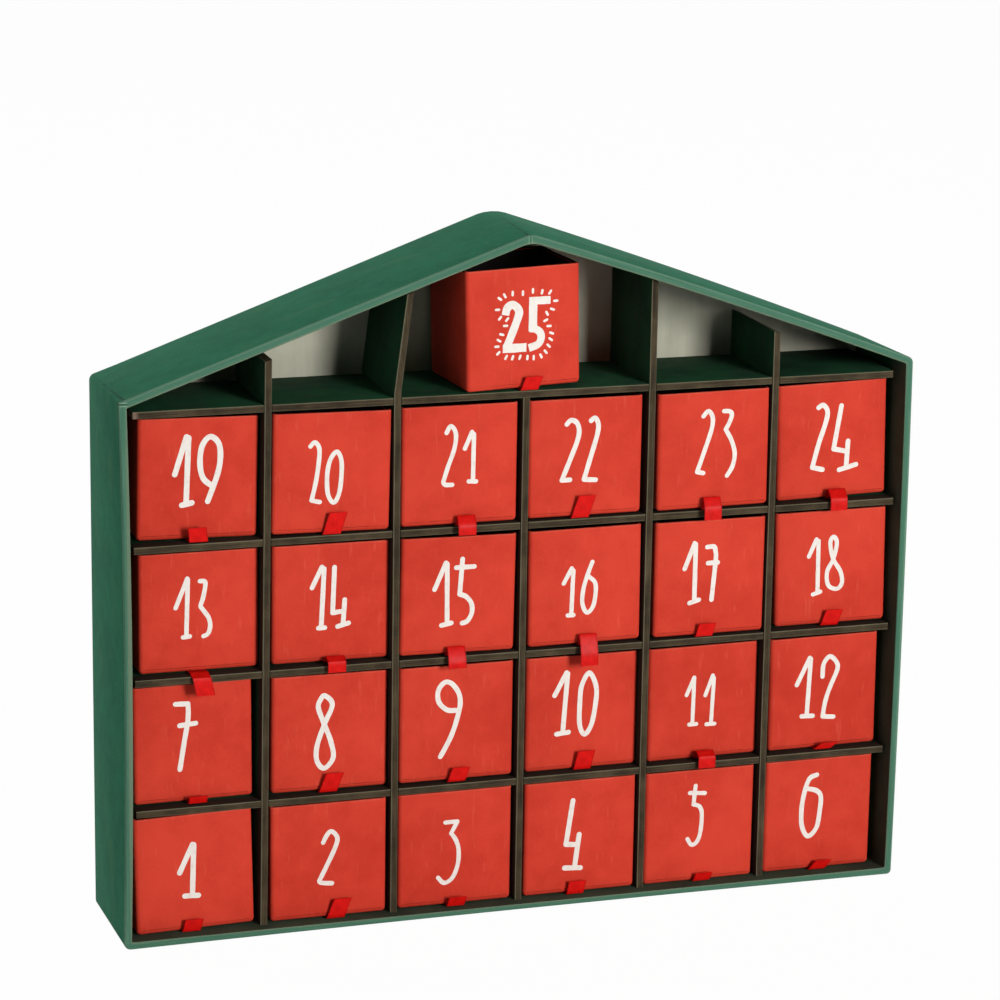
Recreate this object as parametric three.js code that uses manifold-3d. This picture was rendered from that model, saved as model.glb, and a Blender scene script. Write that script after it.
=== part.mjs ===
// A house-shaped cardboard advent calendar: an open-fronted case, a slotted grid of boards and 25 pull-out drawers.
// Millimetres, +Z up. The origin is the middle of the case's underside, and the open front faces -Y.
import * as THREE from 'three';
import { mergeVertices } from 'three/addons/utils/BufferGeometryUtils.js';
import Module from 'manifold-3d';

const wasm = await Module();
wasm.setup();

// Sheet thicknesses
const CASE_WALL = 3.0;
const BACK_THICKNESS = 2.0;
const GRID_BOARD = 2.8;
const DRAWER_BOARD = 1.5;
const RIBBON_THICKNESS = 0.3;

// The grid's cells, clear between the boards
const COLUMNS = 6;
const ROWS = 4;
const CELL_WIDTH = 48.8;
const CELL_HEIGHT = 49.3;
const END_CELL_EXTRA = 3.6;
const BOTTOM_ROW_SHORTFALL = 1.0;
const GRID_DEPTH = 45.5;
const GRID_SETBACK = 4.5;
const GRID_SHIFT = 0.3;

// How the grid's boards meet each other and the case
const SLOT_PLAY = 0.2;
const SHELF_END_GAP_LEFT = 3.1;
const SHELF_END_GAP_RIGHT = 1.0;
const ATTIC_END_GAP_RIGHT = 3.4;
const BACK_SEAT_GAP = 0.3;
const FIRST_UPRIGHT_LEAN = 1.8;
const SECOND_UPRIGHT_TIP_LEAN = 5.0;
const LEAN_START_ABOVE_ATTIC_FLOOR = 2.0;
// How far under the roof each upright stops. The middle one stops under the attic floor instead.
const UPRIGHT_ROOF_GAPS = [5.2, 1.8, 0, 0.6, 5.2];

// The case above the attic floor
const EAVE_ABOVE_ATTIC_FLOOR = 4.6;
const ATTIC_DRAWER_HEADROOM = 0.5;
const RIGHT_ROOF_BOW = 1.2;
const RIGHT_EAVE_LIFT = 1.0;
const RIDGE_BACK_RISE = 1.7;
const OUTER_FOLD_RADIUS = 1.8;
const RIDGE_FOLD_RADIUS = 6.0;

// The drawers, which are open-topped trays, and their play in the cells
const DRAWER_SIDE_PLAY = 2.0;
const DRAWER_TOP_PLAY = 0.7;
const DRAWER_UNDER_GAP = 0.6;
const DRAWER_BACK_ROOM = 6.0;
const DRAWER_FOLD_RADIUS = 1.6;

// The ribbon pulls, glued flat under the drawers' floors
const RIBBON_WIDTH = 7.2;
const RIBBON_GLUED_LENGTH = 12.0;
const RIBBON_FACE_GAP = 0.5;
const ATTIC_RIBBON_BOND = 0.1;

// Where a ribbon bends, as shares of a standing one's rise, of an arch's crest and of an arch's reach
const STANDING_HEEL_SHARE = 0.15;
const STANDING_MIDDLE_SHARE = 0.6;
const ARCH_HEEL_SHARE = 0.15;
const ARCH_SHOULDER_SHARE = 0.7;
const ARCH_CREST_REACH = 0.45;
const ARCH_SLOPE_REACH = 0.8;
const ARCH_HEEL_OUT = 1.0;
const ARCH_SHOULDER_OUT = 1.3;

// Making the solids: how far a cut runs past the board, and how close points are one point
const CUT_OVERRUN = 1.0;
const WELD_DISTANCE = 1e-5;

// Steps in the rounded forms
const FOLD_STEPS = 4;
const ROOF_BOW_STEPS = 8;
const RIBBON_STEPS = 10;

// How the drawers lie in their cells, from number 1 on: the shift from the cell's middle, how far in from the
// grid's front edge, and the turn in degrees
const DRAWERS = [
  { across: -0.6, inward: 1.3, turn: 0 },
  { across: -0.9, inward: 0.4, turn: 0 },
  { across: -0.5, inward: 1.0, turn: 0 },
  { across: -0.3, inward: 0.8, turn: 0 },
  { across: -0.3, inward: 1.8, turn: 0 },
  { across: -1.9, inward: 1.8, turn: 0 },
  { across: 0.6, inward: 5.0, turn: 0 },
  { across: 0.5, inward: 3.8, turn: 0 },
  { across: 0.1, inward: 2.7, turn: 0 },
  { across: 0.8, inward: 4.2, turn: 0 },
  { across: 0.4, inward: 4.2, turn: 0 },
  { across: -0.5, inward: 4.0, turn: 0 },
  { across: 2.6, inward: 4.5, turn: 0 },
  { across: 0.5, inward: 3.8, turn: 0 },
  { across: -0.2, inward: 1.5, turn: 0 },
  { across: 0.0, inward: 1.5, turn: 0 },
  { across: 0.3, inward: 1.0, turn: 0 },
  { across: -0.2, inward: 3.2, turn: -3 },
  { across: 2.7, inward: 4.5, turn: 0 },
  { across: 0.0, inward: 0.8, turn: 0 },
  { across: -0.7, inward: 0.8, turn: 0 },
  { across: -0.9, inward: 1.0, turn: 0 },
  { across: 0.2, inward: 0.4, turn: 0 },
  { across: -1.0, inward: 4.5, turn: 0 },
  { across: -1.9, inward: 1.2, turn: 5.5 },
];

// The ribbons in the same order. A standing one turns up at its foot and ends at its tip. An arched one rises to a
// crest, comes down over a crease and ends below the drawer. Distances out are from the front of the drawer.
const RIBBONS = [
  { offset: -1.6, foot: 1.3, tip: 2.2, rise: 5.6, lean: 1.6 },
  { offset: 3.2, foot: 1.2, tip: 2.0, rise: 8.0, lean: 1.3 },
  { offset: 0.3, foot: 2.4, tip: 3.9, rise: 3.2, lean: 0.8 },
  { offset: -2.4, foot: 1.3, tip: 2.1, rise: 5.8, lean: 2.2 },
  { offset: 1.0, foot: 1.5, tip: 2.4, rise: 3.4, lean: 0.8 },
  { offset: -0.2, foot: 1.5, tip: 2.6, rise: 3.8, lean: 2.4 },
  { offset: 1.8, foot: 3.0, tip: 4.2, rise: 2.0, lean: 0 },
  { offset: -1.2, foot: 1.5, tip: 2.2, rise: 8.0, lean: 2.8 },
  { offset: -0.1, foot: 1.5, tip: 2.4, rise: 6.0, lean: 2.2 },
  { offset: -0.4, foot: 1.5, tip: 2.3, rise: 7.8, lean: 2.2 },
  { offset: 0.4, crest: 3.6, reach: 6.2, crease: 1.5, drop: 2.9, lean: 0 },
  { offset: -0.6, foot: 2.6, tip: 4.0, rise: 2.8, lean: 2.6 },
  { offset: -0.3, crest: 0.4, reach: 6.4, crease: -1.2, drop: 9.0, lean: 2.8 },
  { offset: 1.2, crest: 2.9, reach: 6.0, crease: 1.1, drop: 2.9, lean: 0 },
  { offset: -0.6, crest: 3.7, reach: 4.6, crease: -1.7, drop: 4.4, lean: 0 },
  { offset: 1.0, crest: 4.5, reach: 5.0, crease: -3.4, drop: 7.8, lean: 0 },
  { offset: -1.8, foot: 1.3, tip: 2.2, rise: 5.2, lean: 1.0 },
  { offset: 0.1, foot: 1.4, tip: 2.3, rise: 5.6, lean: 1.8 },
  { offset: 0.5, foot: 3.9, tip: 4.8, rise: 5.6, lean: 0 },
  { offset: -0.5, foot: 1.2, tip: 2.0, rise: 8.0, lean: 2.8 },
  { offset: 2.6, crest: 4.7, reach: 4.4, crease: 0.9, drop: 3.5, lean: 0 },
  { offset: -1.8, foot: 1.2, tip: 2.0, rise: 8.6, lean: 2.6 },
  { offset: -0.4, crest: 5.8, reach: 4.2, crease: 2.4, drop: 2.8, lean: 0 },
  { offset: 2.2, crest: 3.3, reach: 6.4, crease: 0.2, drop: 4.0, lean: 0 },
  { offset: 1.8, foot: 1.2, tip: 1.9, rise: 5.0, lean: 1.6 },
];

const FINISHES = {
  casePaper: { color: 0x2d6a50, roughness: 0.85, metalness: 0 },
  backPaper: { color: 0xbebcaa, roughness: 0.9, metalness: 0 },
  gridPaper: { color: 0x1d4a37, roughness: 0.85, metalness: 0 },
  drawerPaper: { color: 0xd44432, roughness: 0.8, metalness: 0 },
  ribbonSatin: { color: 0xd21912, roughness: 0.35, metalness: 0 },
};

// The case and grid, worked out from the cells
const caseWidth = 2 * CASE_WALL
  + (COLUMNS - 2) * CELL_WIDTH
  + 2 * (CELL_WIDTH + END_CELL_EXTRA)
  + (COLUMNS - 1) * GRID_BOARD;
const caseDepth = GRID_SETBACK + GRID_DEPTH + BACK_THICKNESS;
const caseFront = -caseDepth / 2;
const gridFront = caseFront + GRID_SETBACK;
const gridBack = gridFront + GRID_DEPTH;
const insideHalfWidth = caseWidth / 2 - CASE_WALL;
const bottomCellHeight = CELL_HEIGHT - BOTTOM_ROW_SHORTFALL;
const uprightPitch = CELL_WIDTH + GRID_BOARD;
const shelfUndersides = Array.from(
  { length: ROWS },
  (_, row) => CASE_WALL + bottomCellHeight + row * (CELL_HEIGHT + GRID_BOARD),
);
const atticFloorTop = shelfUndersides[ROWS - 1] + GRID_BOARD;
const eaveHeight = atticFloorTop + EAVE_ABOVE_ATTIC_FLOOR;

// The drawers' outer size
const drawerWidth = CELL_WIDTH - DRAWER_SIDE_PLAY;
const drawerHeight = bottomCellHeight - DRAWER_UNDER_GAP - DRAWER_TOP_PLAY;
const drawerDepth = GRID_DEPTH - DRAWER_BACK_ROOM;

function footprintCorners(lie, centreX) {
  const angle = THREE.MathUtils.degToRad(lie.turn);
  const corners = [];
  for (const sideX of [-0.5, 0.5]) {
    for (const sideY of [0, 1]) {
      const x = sideX * drawerWidth;
      const y = sideY * drawerDepth;
      corners.push(centreX + x * Math.cos(angle) - y * Math.sin(angle));
    }
  }
  return corners;
}

// The roof slope passes just over the top corners of the attic drawer, which fills the gable
const atticLie = DRAWERS[DRAWERS.length - 1];
const atticDrawerX = GRID_SHIFT + atticLie.across;
const drawerReach = Math.max(...footprintCorners(atticLie, atticDrawerX).map(Math.abs));
const cornerRise = atticFloorTop + DRAWER_UNDER_GAP + drawerHeight + ATTIC_DRAWER_HEADROOM - eaveHeight;
const cornerRun = caseWidth / 2 - drawerReach;
const roofAngle = Math.atan2(cornerRise, cornerRun)
  + Math.asin(CASE_WALL / Math.hypot(cornerRun, cornerRise));
const roofTangent = Math.tan(roofAngle);
const roofThicknessUpright = CASE_WALL / Math.cos(roofAngle);

// The slopes before they warp. The right-hand one bows up a little between eave and ridge.
function plainRoofTop(x) {
  const toEave = Math.abs(x) / (caseWidth / 2);
  const bow = x > 0 ? 4 * RIGHT_ROOF_BOW * toEave * (1 - toEave) : 0;
  return eaveHeight + (caseWidth / 2 - Math.abs(x)) * roofTangent + bow;
}

// The right-hand eave is lifted at the front, and the ridge climbs towards the back
function roofWarp(x, y) {
  const toEave = Math.abs(x) / (caseWidth / 2);
  const toBack = (y - caseFront) / caseDepth;
  const eaveLift = x > 0 ? RIGHT_EAVE_LIFT * toEave * (1 - toBack) : 0;
  return eaveLift + RIDGE_BACK_RISE * (1 - toEave) * toBack;
}

function plainRoofUnderside(x) {
  return plainRoofTop(x) - roofThicknessUpright;
}

// The roof's lowest underside over the grid's depth
function roofOverGrid(x) {
  return plainRoofUnderside(x) + Math.min(roofWarp(x, gridFront), roofWarp(x, gridBack));
}

// Where a board's middle line runs, at a height
function uprightMiddle(index, height) {
  const foot = GRID_SHIFT + (index - (COLUMNS - 2) / 2) * uprightPitch;
  if (index === 0) {
    const share = (height - CASE_WALL) / (atticFloorTop - CASE_WALL);
    return foot + FIRST_UPRIGHT_LEAN * (share - 0.5);
  }
  if (index === 1) {
    const leanStart = atticFloorTop + LEAN_START_ABOVE_ATTIC_FLOOR;
    const leanEnd = roofOverGrid(foot);
    const share = Math.max(0, (height - leanStart) / (leanEnd - leanStart));
    return foot + SECOND_UPRIGHT_TIP_LEAN * share;
  }
  return foot;
}

// Geometry helpers
function toSolid(geometry) {
  const bare = geometry.clone();
  bare.deleteAttribute('normal');
  bare.deleteAttribute('uv');
  const merged = mergeVertices(bare, WELD_DISTANCE);
  return new wasm.Manifold(new wasm.Mesh({
    numProp: 3,
    vertProperties: new Float32Array(merged.attributes.position.array),
    triVerts: new Uint32Array(merged.index.array),
  }));
}

function toGeometry(solid) {
  const mesh = solid.getMesh();
  const geometry = new THREE.BufferGeometry();
  geometry.setAttribute('position', new THREE.BufferAttribute(mesh.vertProperties, 3));
  geometry.setIndex(new THREE.BufferAttribute(mesh.triVerts, 1));
  const flat = geometry.toNonIndexed();
  flat.computeVertexNormals();
  return flat;
}

function boxBetween(low, high) {
  const size = [0, 1, 2].map((k) => high[k] - low[k]);
  const middle = [0, 1, 2].map((k) => (high[k] + low[k]) / 2);
  return new THREE.BoxGeometry(...size).translate(...middle);
}

function extrudeFrontToBack(shape, front, back) {
  const geometry = new THREE.ExtrudeGeometry(shape, {
    depth: back - front,
    bevelEnabled: false,
    curveSegments: FOLD_STEPS,
  });
  return geometry.rotateX(Math.PI / 2).translate(0, back, 0);
}

// A closed outline through corners [x, z, radius], each rounded by its own radius
function roundedOutline(corners, OutlineClass) {
  const outline = new OutlineClass();
  corners.forEach(([x, z, radius], k) => {
    const corner = new THREE.Vector2(x, z);
    if (radius === 0) {
      if (k === 0) outline.moveTo(x, z);
      else outline.lineTo(x, z);
      return;
    }
    const [px, pz] = corners[(k + corners.length - 1) % corners.length];
    const [nx, nz] = corners[(k + 1) % corners.length];
    const before = new THREE.Vector2(px, pz).sub(corner).setLength(radius).add(corner);
    const after = new THREE.Vector2(nx, nz).sub(corner).setLength(radius).add(corner);
    if (k === 0) outline.moveTo(before.x, before.y);
    else outline.lineTo(before.x, before.y);
    outline.quadraticCurveTo(x, z, after.x, after.y);
  });
  outline.closePath();
  return outline;
}

// Points along the bowed right-hand slope, from eave to ridge, without its two ends
function bowedSlope(heightAt, halfWidth) {
  const points = [];
  for (let step = 1; step < ROOF_BOW_STEPS; step += 1) {
    const x = halfWidth * (1 - step / ROOF_BOW_STEPS);
    points.push([x, heightAt(x), 0]);
  }
  return points;
}

// The house-shaped outline inside the case, or smaller all round by an inset
function insideCorners(inset, undersideAt) {
  const halfWidth = insideHalfWidth - inset;
  const heightAt = (x) => undersideAt(x) - inset / Math.cos(roofAngle);
  return [
    [-halfWidth, CASE_WALL + inset, 0],
    [halfWidth, CASE_WALL + inset, 0],
    [halfWidth, heightAt(halfWidth), 0],
    ...bowedSlope(heightAt, halfWidth),
    [0, heightAt(0), RIDGE_FOLD_RADIUS],
    [-halfWidth, heightAt(-halfWidth), 0],
  ];
}

// One long board, scored and folded into floor, walls and roof slopes
function caseWalls() {
  const halfWidth = caseWidth / 2;
  const outside = roundedOutline([
    [-halfWidth, 0, OUTER_FOLD_RADIUS],
    [halfWidth, 0, OUTER_FOLD_RADIUS],
    [halfWidth, eaveHeight, OUTER_FOLD_RADIUS],
    ...bowedSlope(plainRoofTop, halfWidth),
    [0, plainRoofTop(0), RIDGE_FOLD_RADIUS],
    [-halfWidth, eaveHeight, OUTER_FOLD_RADIUS],
  ], THREE.Shape);
  outside.holes.push(roundedOutline(insideCorners(0, plainRoofUnderside), THREE.Path));
  const geometry = extrudeFrontToBack(outside, caseFront, caseFront + caseDepth);
  const position = geometry.attributes.position;
  for (let k = 0; k < position.count; k += 1) {
    const height = position.getZ(k);
    if (height > eaveHeight / 2) position.setZ(k, height + roofWarp(position.getX(k), position.getY(k)));
  }
  return geometry;
}

// The back sits inside the folded board, flush with its rear edges
function backPanel() {
  const undersideAt = (x) => plainRoofUnderside(x) + roofWarp(x, gridBack);
  const outline = roundedOutline(insideCorners(BACK_SEAT_GAP, undersideAt), THREE.Shape);
  return extrudeFrontToBack(outline, gridBack, gridBack + BACK_THICKNESS);
}

function shelfSpan(row) {
  const rightGap = row === ROWS - 1 ? ATTIC_END_GAP_RIGHT : SHELF_END_GAP_RIGHT;
  return [-insideHalfWidth + SHELF_END_GAP_LEFT, insideHalfWidth - rightGap];
}

const lapMiddle = (gridFront + gridBack) / 2;
const middleUpright = (COLUMNS - 2) / 2;

// The middle upright stops under the attic floor, so nothing crosses there
function crosses(index, row) {
  return !(index === middleUpright && row === ROWS - 1);
}

// A shelf has slots open to its front edge, where the uprights pass
function shelf(row) {
  const underside = shelfUndersides[row];
  const [left, right] = shelfSpan(row);
  let solid = toSolid(boxBetween([left, gridFront, underside], [right, gridBack, underside + GRID_BOARD]));
  for (let index = 0; index < COLUMNS - 1; index += 1) {
    if (!crosses(index, row)) continue;
    const middle = uprightMiddle(index, underside + GRID_BOARD / 2);
    const halfSlot = GRID_BOARD / 2 + SLOT_PLAY;
    solid = solid.subtract(toSolid(boxBetween(
      [middle - halfSlot, gridFront - CUT_OVERRUN, underside - CUT_OVERRUN],
      [middle + halfSlot, lapMiddle + SLOT_PLAY / 2, underside + GRID_BOARD + CUT_OVERRUN],
    )));
  }
  return toGeometry(solid);
}

// An upright has slots open to its rear edge, where the shelves pass, and its top follows the roof
function upright(index) {
  const half = GRID_BOARD / 2;
  const stopsUnderAtticFloor = index === middleUpright;
  const bend = atticFloorTop + LEAN_START_ABOVE_ATTIC_FLOOR;
  const topAt = (x) => roofOverGrid(x) - UPRIGHT_ROOF_GAPS[index];
  const topMiddle = uprightMiddle(index, topAt(uprightMiddle(index, bend)));
  const footX = uprightMiddle(index, CASE_WALL);
  const bendX = uprightMiddle(index, bend);
  const corners = [[footX - half, CASE_WALL, 0], [footX + half, CASE_WALL, 0]];
  if (stopsUnderAtticFloor) {
    const top = shelfUndersides[ROWS - 1];
    corners.push([footX + half, top, 0], [footX - half, top, 0]);
  } else {
    corners.push(
      [bendX + half, bend, 0],
      [topMiddle + half, topAt(topMiddle + half), 0],
      [topMiddle - half, topAt(topMiddle - half), 0],
      [bendX - half, bend, 0],
    );
  }
  let solid = toSolid(extrudeFrontToBack(roundedOutline(corners, THREE.Shape), gridFront, gridBack));
  for (let row = 0; row < ROWS; row += 1) {
    if (!crosses(index, row)) continue;
    const underside = shelfUndersides[row];
    const middle = uprightMiddle(index, underside);
    solid = solid.subtract(toSolid(boxBetween(
      [middle - GRID_BOARD, lapMiddle - SLOT_PLAY / 2, underside - SLOT_PLAY],
      [middle + GRID_BOARD, gridBack + CUT_OVERRUN, underside + GRID_BOARD + SLOT_PLAY],
    )));
  }
  return toGeometry(solid);
}

// A tray about its own origin: the middle of its front face's bottom edge, with the front facing -Y
function drawerTray() {
  const half = drawerWidth / 2;
  const outline = roundedOutline([
    [-half, 0, DRAWER_FOLD_RADIUS],
    [half, 0, DRAWER_FOLD_RADIUS],
    [half, drawerHeight, 0],
    [-half, drawerHeight, 0],
  ], THREE.Shape);
  const outside = toSolid(extrudeFrontToBack(outline, 0, drawerDepth));
  const inside = toSolid(boxBetween(
    [-half + DRAWER_BOARD, DRAWER_BOARD, DRAWER_BOARD],
    [half - DRAWER_BOARD, drawerDepth - DRAWER_BOARD, drawerHeight + CUT_OVERRUN],
  ));
  return outside.subtract(inside);
}

// The free end of a ribbon seen from the side, as points [out, up] from the drawer's bottom front edge
function ribbonTab(ribbon) {
  const flat = -RIBBON_THICKNESS / 2;
  if (ribbon.rise !== undefined) {
    return [
      [RIBBON_FACE_GAP / 2, flat],
      [ribbon.foot - RIBBON_FACE_GAP, flat],
      [ribbon.foot, STANDING_HEEL_SHARE * ribbon.rise],
      [(ribbon.foot + ribbon.tip) / 2, STANDING_MIDDLE_SHARE * ribbon.rise],
      [ribbon.tip, ribbon.rise],
    ];
  }
  return [
    [RIBBON_FACE_GAP / 2, flat],
    [ARCH_HEEL_OUT, ARCH_HEEL_SHARE * ribbon.crest],
    [ARCH_SHOULDER_OUT, ARCH_SHOULDER_SHARE * ribbon.crest],
    [ARCH_CREST_REACH * ribbon.reach, ribbon.crest],
    [ARCH_SLOPE_REACH * ribbon.reach, (ribbon.crest + ribbon.crease) / 2],
    [ribbon.reach, ribbon.crease],
    [ribbon.reach, -ribbon.drop],
  ];
}

// A strip of even thickness along a side view, which leans sideways as it leaves the drawer
function ribbonStrip(ribbon) {
  const tab = ribbonTab(ribbon).map(([out, up]) => new THREE.Vector2(-out, up));
  const path = new THREE.SplineCurve(tab).getSpacedPoints(RIBBON_STEPS);
  path.unshift(new THREE.Vector2(RIBBON_GLUED_LENGTH, -RIBBON_THICKNESS / 2));
  const upper = [];
  const lower = [];
  path.forEach((point, k) => {
    const before = path[Math.max(0, k - 1)];
    const after = path[Math.min(path.length - 1, k + 1)];
    const along = after.clone().sub(before).normalize();
    const across = new THREE.Vector2(along.y, -along.x).multiplyScalar(RIBBON_THICKNESS / 2);
    upper.push(point.clone().add(across));
    lower.push(point.clone().sub(across));
  });
  upper[0].y = 0;
  lower[0].y = -RIBBON_THICKNESS;
  upper[1].y = 0;
  lower[1].y = -RIBBON_THICKNESS;
  const outline = new THREE.Shape([...upper, ...lower.reverse()]);
  const strip = new THREE.ExtrudeGeometry(outline, { depth: RIBBON_WIDTH, bevelEnabled: false });
  strip.translate(0, 0, -RIBBON_WIDTH / 2);
  strip.applyMatrix4(new THREE.Matrix4().makeBasis(
    new THREE.Vector3(0, 1, 0),
    new THREE.Vector3(0, 0, 1),
    new THREE.Vector3(1, 0, 0),
  ));
  const furthest = ribbon.rise !== undefined ? ribbon.rise : ribbon.drop;
  const position = strip.attributes.position;
  for (let k = 0; k < position.count; k += 1) {
    const share = position.getY(k) < 0 ? Math.min(1, Math.abs(position.getZ(k)) / furthest) : 0;
    position.setX(k, position.getX(k) + ribbon.offset + ribbon.lean * share);
  }
  return strip;
}

// The part
const calendar = new THREE.Group();

function addPiece(parent, name, geometry, finish) {
  const mesh = new THREE.Mesh(geometry, new THREE.MeshStandardMaterial(finish));
  mesh.name = name;
  parent.add(mesh);
}

addPiece(calendar, 'case_walls', caseWalls(), FINISHES.casePaper);
addPiece(calendar, 'back_panel', backPanel(), FINISHES.backPaper);
for (let index = 0; index < COLUMNS - 1; index += 1) {
  addPiece(calendar, `upright_${index + 1}`, upright(index), FINISHES.gridPaper);
}
for (let row = 0; row < ROWS; row += 1) {
  const name = row === ROWS - 1 ? 'attic_floor' : `shelf_${row + 1}`;
  addPiece(calendar, name, shelf(row), FINISHES.gridPaper);
}

// The middle of a cell across the case, and the top of what its drawer stands on
function cellPlace(number) {
  const row = Math.floor((number - 1) / COLUMNS);
  const floorTop = row === 0 ? CASE_WALL : shelfUndersides[row - 1] + GRID_BOARD;
  if (row === ROWS) return [GRID_SHIFT, floorTop];
  const column = (number - 1) % COLUMNS;
  const height = floorTop + CELL_HEIGHT / 2;
  const half = GRID_BOARD / 2;
  const left = column === 0 ? -insideHalfWidth : uprightMiddle(column - 1, height) + half;
  const right = column === COLUMNS - 1 ? insideHalfWidth : uprightMiddle(column, height) - half;
  return [(left + right) / 2, floorTop];
}

const tray = drawerTray();
DRAWERS.forEach((lie, k) => {
  const number = k + 1;
  const label = String(number).padStart(2, '0');
  const [middle, floorTop] = cellPlace(number);
  const place = new THREE.Group();
  place.position.set(middle + lie.across, gridFront + lie.inward, floorTop + DRAWER_UNDER_GAP);
  place.rotation.z = THREE.MathUtils.degToRad(lie.turn);
  calendar.add(place);
  const ribbon = ribbonStrip(RIBBONS[k]);
  if (number === DRAWERS.length) {
    // The top drawer's ribbon is pressed up against its front, and the two are one piece here
    const bonded = tray.add(toSolid(ribbon.translate(0, 0, ATTIC_RIBBON_BOND)));
    addPiece(place, `drawer_${label}`, toGeometry(bonded), FINISHES.drawerPaper);
    return;
  }
  addPiece(place, `drawer_${label}`, toGeometry(tray), FINISHES.drawerPaper);
  addPiece(place, `ribbon_${label}`, ribbon, FINISHES.ribbonSatin);
});

export default calendar;
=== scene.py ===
"""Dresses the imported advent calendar: a folded case, a slotted grid, and 25 drawers with ribbons and numbers.

Sizes are in millimetres and become metres as each piece is placed. The open front faces -Y, and the origin is
the middle of the case's underside.
"""

import logging
import math
from collections.abc import Callable, Iterable, Sequence
from dataclasses import dataclass, field
from enum import Enum
from itertools import accumulate

import bmesh
import bpy
from bmesh.types import BMEdge, BMesh, BMFace, BMVert
from mathutils import Matrix, Vector


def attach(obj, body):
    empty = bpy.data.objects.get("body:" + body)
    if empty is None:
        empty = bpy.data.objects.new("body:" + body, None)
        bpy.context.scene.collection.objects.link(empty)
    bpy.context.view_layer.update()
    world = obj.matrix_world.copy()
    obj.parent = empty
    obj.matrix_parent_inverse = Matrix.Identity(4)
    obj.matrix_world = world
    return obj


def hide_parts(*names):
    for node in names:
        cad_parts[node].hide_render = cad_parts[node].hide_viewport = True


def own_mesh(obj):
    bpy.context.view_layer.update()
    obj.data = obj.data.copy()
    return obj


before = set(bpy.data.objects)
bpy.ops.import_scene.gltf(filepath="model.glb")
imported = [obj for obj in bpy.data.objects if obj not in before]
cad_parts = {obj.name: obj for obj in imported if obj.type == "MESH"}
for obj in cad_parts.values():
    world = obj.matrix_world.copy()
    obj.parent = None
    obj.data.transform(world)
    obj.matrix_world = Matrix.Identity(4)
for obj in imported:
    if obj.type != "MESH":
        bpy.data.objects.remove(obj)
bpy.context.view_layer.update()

MM = 0.001
TOUCH = 1e-4
MATCH = 0.02
LOOKS_ALONG = 0.7
SHARP_ANGLE = math.radians(60)
STRAIGHT_ANGLE = math.radians(1)

log = logging.getLogger("advent_calendar")

Colour = tuple[float, float, float, float]
Point = tuple[float, float]
Span = tuple[float, float]
Triple = tuple[float, float, float]
Station = tuple[Vector, Vector, float]


def ink(red: int, green: int, blue: int) -> Colour:
    """A screen colour of 0 to 255 as the linear colour a shader takes."""
    light = (((c / 255 + 0.055) / 1.055) ** 2.4 if c > 10 else c / 3294.6 for c in (red, green, blue))
    return (*light, 1.0)


WHITE: Colour = (1.0, 1.0, 1.0, 1.0)


# ---------------------------------------------------------------- shader sheets


class Wire:
    """The output of a shader node, which adds its Math nodes when it stands in a sum."""

    def __init__(self, sheet: "NodeSheet", socket: bpy.types.NodeSocket) -> None:
        """Keeps the socket and the sheet of nodes it is on."""
        self.sheet = sheet
        self.socket = socket

    def _math(self, operation: str, first: "Wire | float", second: "Wire | float" = 0.0) -> "Wire":
        """The outcome of one Math node on two values."""
        return self.sheet.node("ShaderNodeMath", {"operation": operation}, {0: first, 1: second})

    def __add__(self, other: "Wire | float") -> "Wire":
        """This value and another."""
        return self._math("ADD", self, other)

    def __radd__(self, other: float) -> "Wire":
        """A number and this value."""
        return self._math("ADD", other, self)

    def __sub__(self, other: "Wire | float") -> "Wire":
        """This value less another."""
        return self._math("SUBTRACT", self, other)

    def __rsub__(self, other: float) -> "Wire":
        """A number less this value."""
        return self._math("SUBTRACT", other, self)

    def __mul__(self, other: "Wire | float") -> "Wire":
        """This value times another."""
        return self._math("MULTIPLY", self, other)

    def __abs__(self) -> "Wire":
        """This value without its sign."""
        return self._math("ABSOLUTE", self)

    def larger(self, other: "Wire | float") -> "Wire":
        """The larger of this value and another."""
        return self._math("MAXIMUM", self, other)

    def ramp(self, low: float, high: float) -> "Wire":
        """0 below low, 1 above high, and a smooth rise between them."""
        return self.sheet.node(
            "ShaderNodeMapRange",
            {"interpolation_type": "SMOOTHSTEP"},
            {"Value": self, "From Min": low, "From Max": high},
        )

    def rise(self, low: float, high: float) -> "Wire":
        """The same rise between two places in millimetres, for a value in metres."""
        return self.ramp(low * MM, high * MM)


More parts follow.
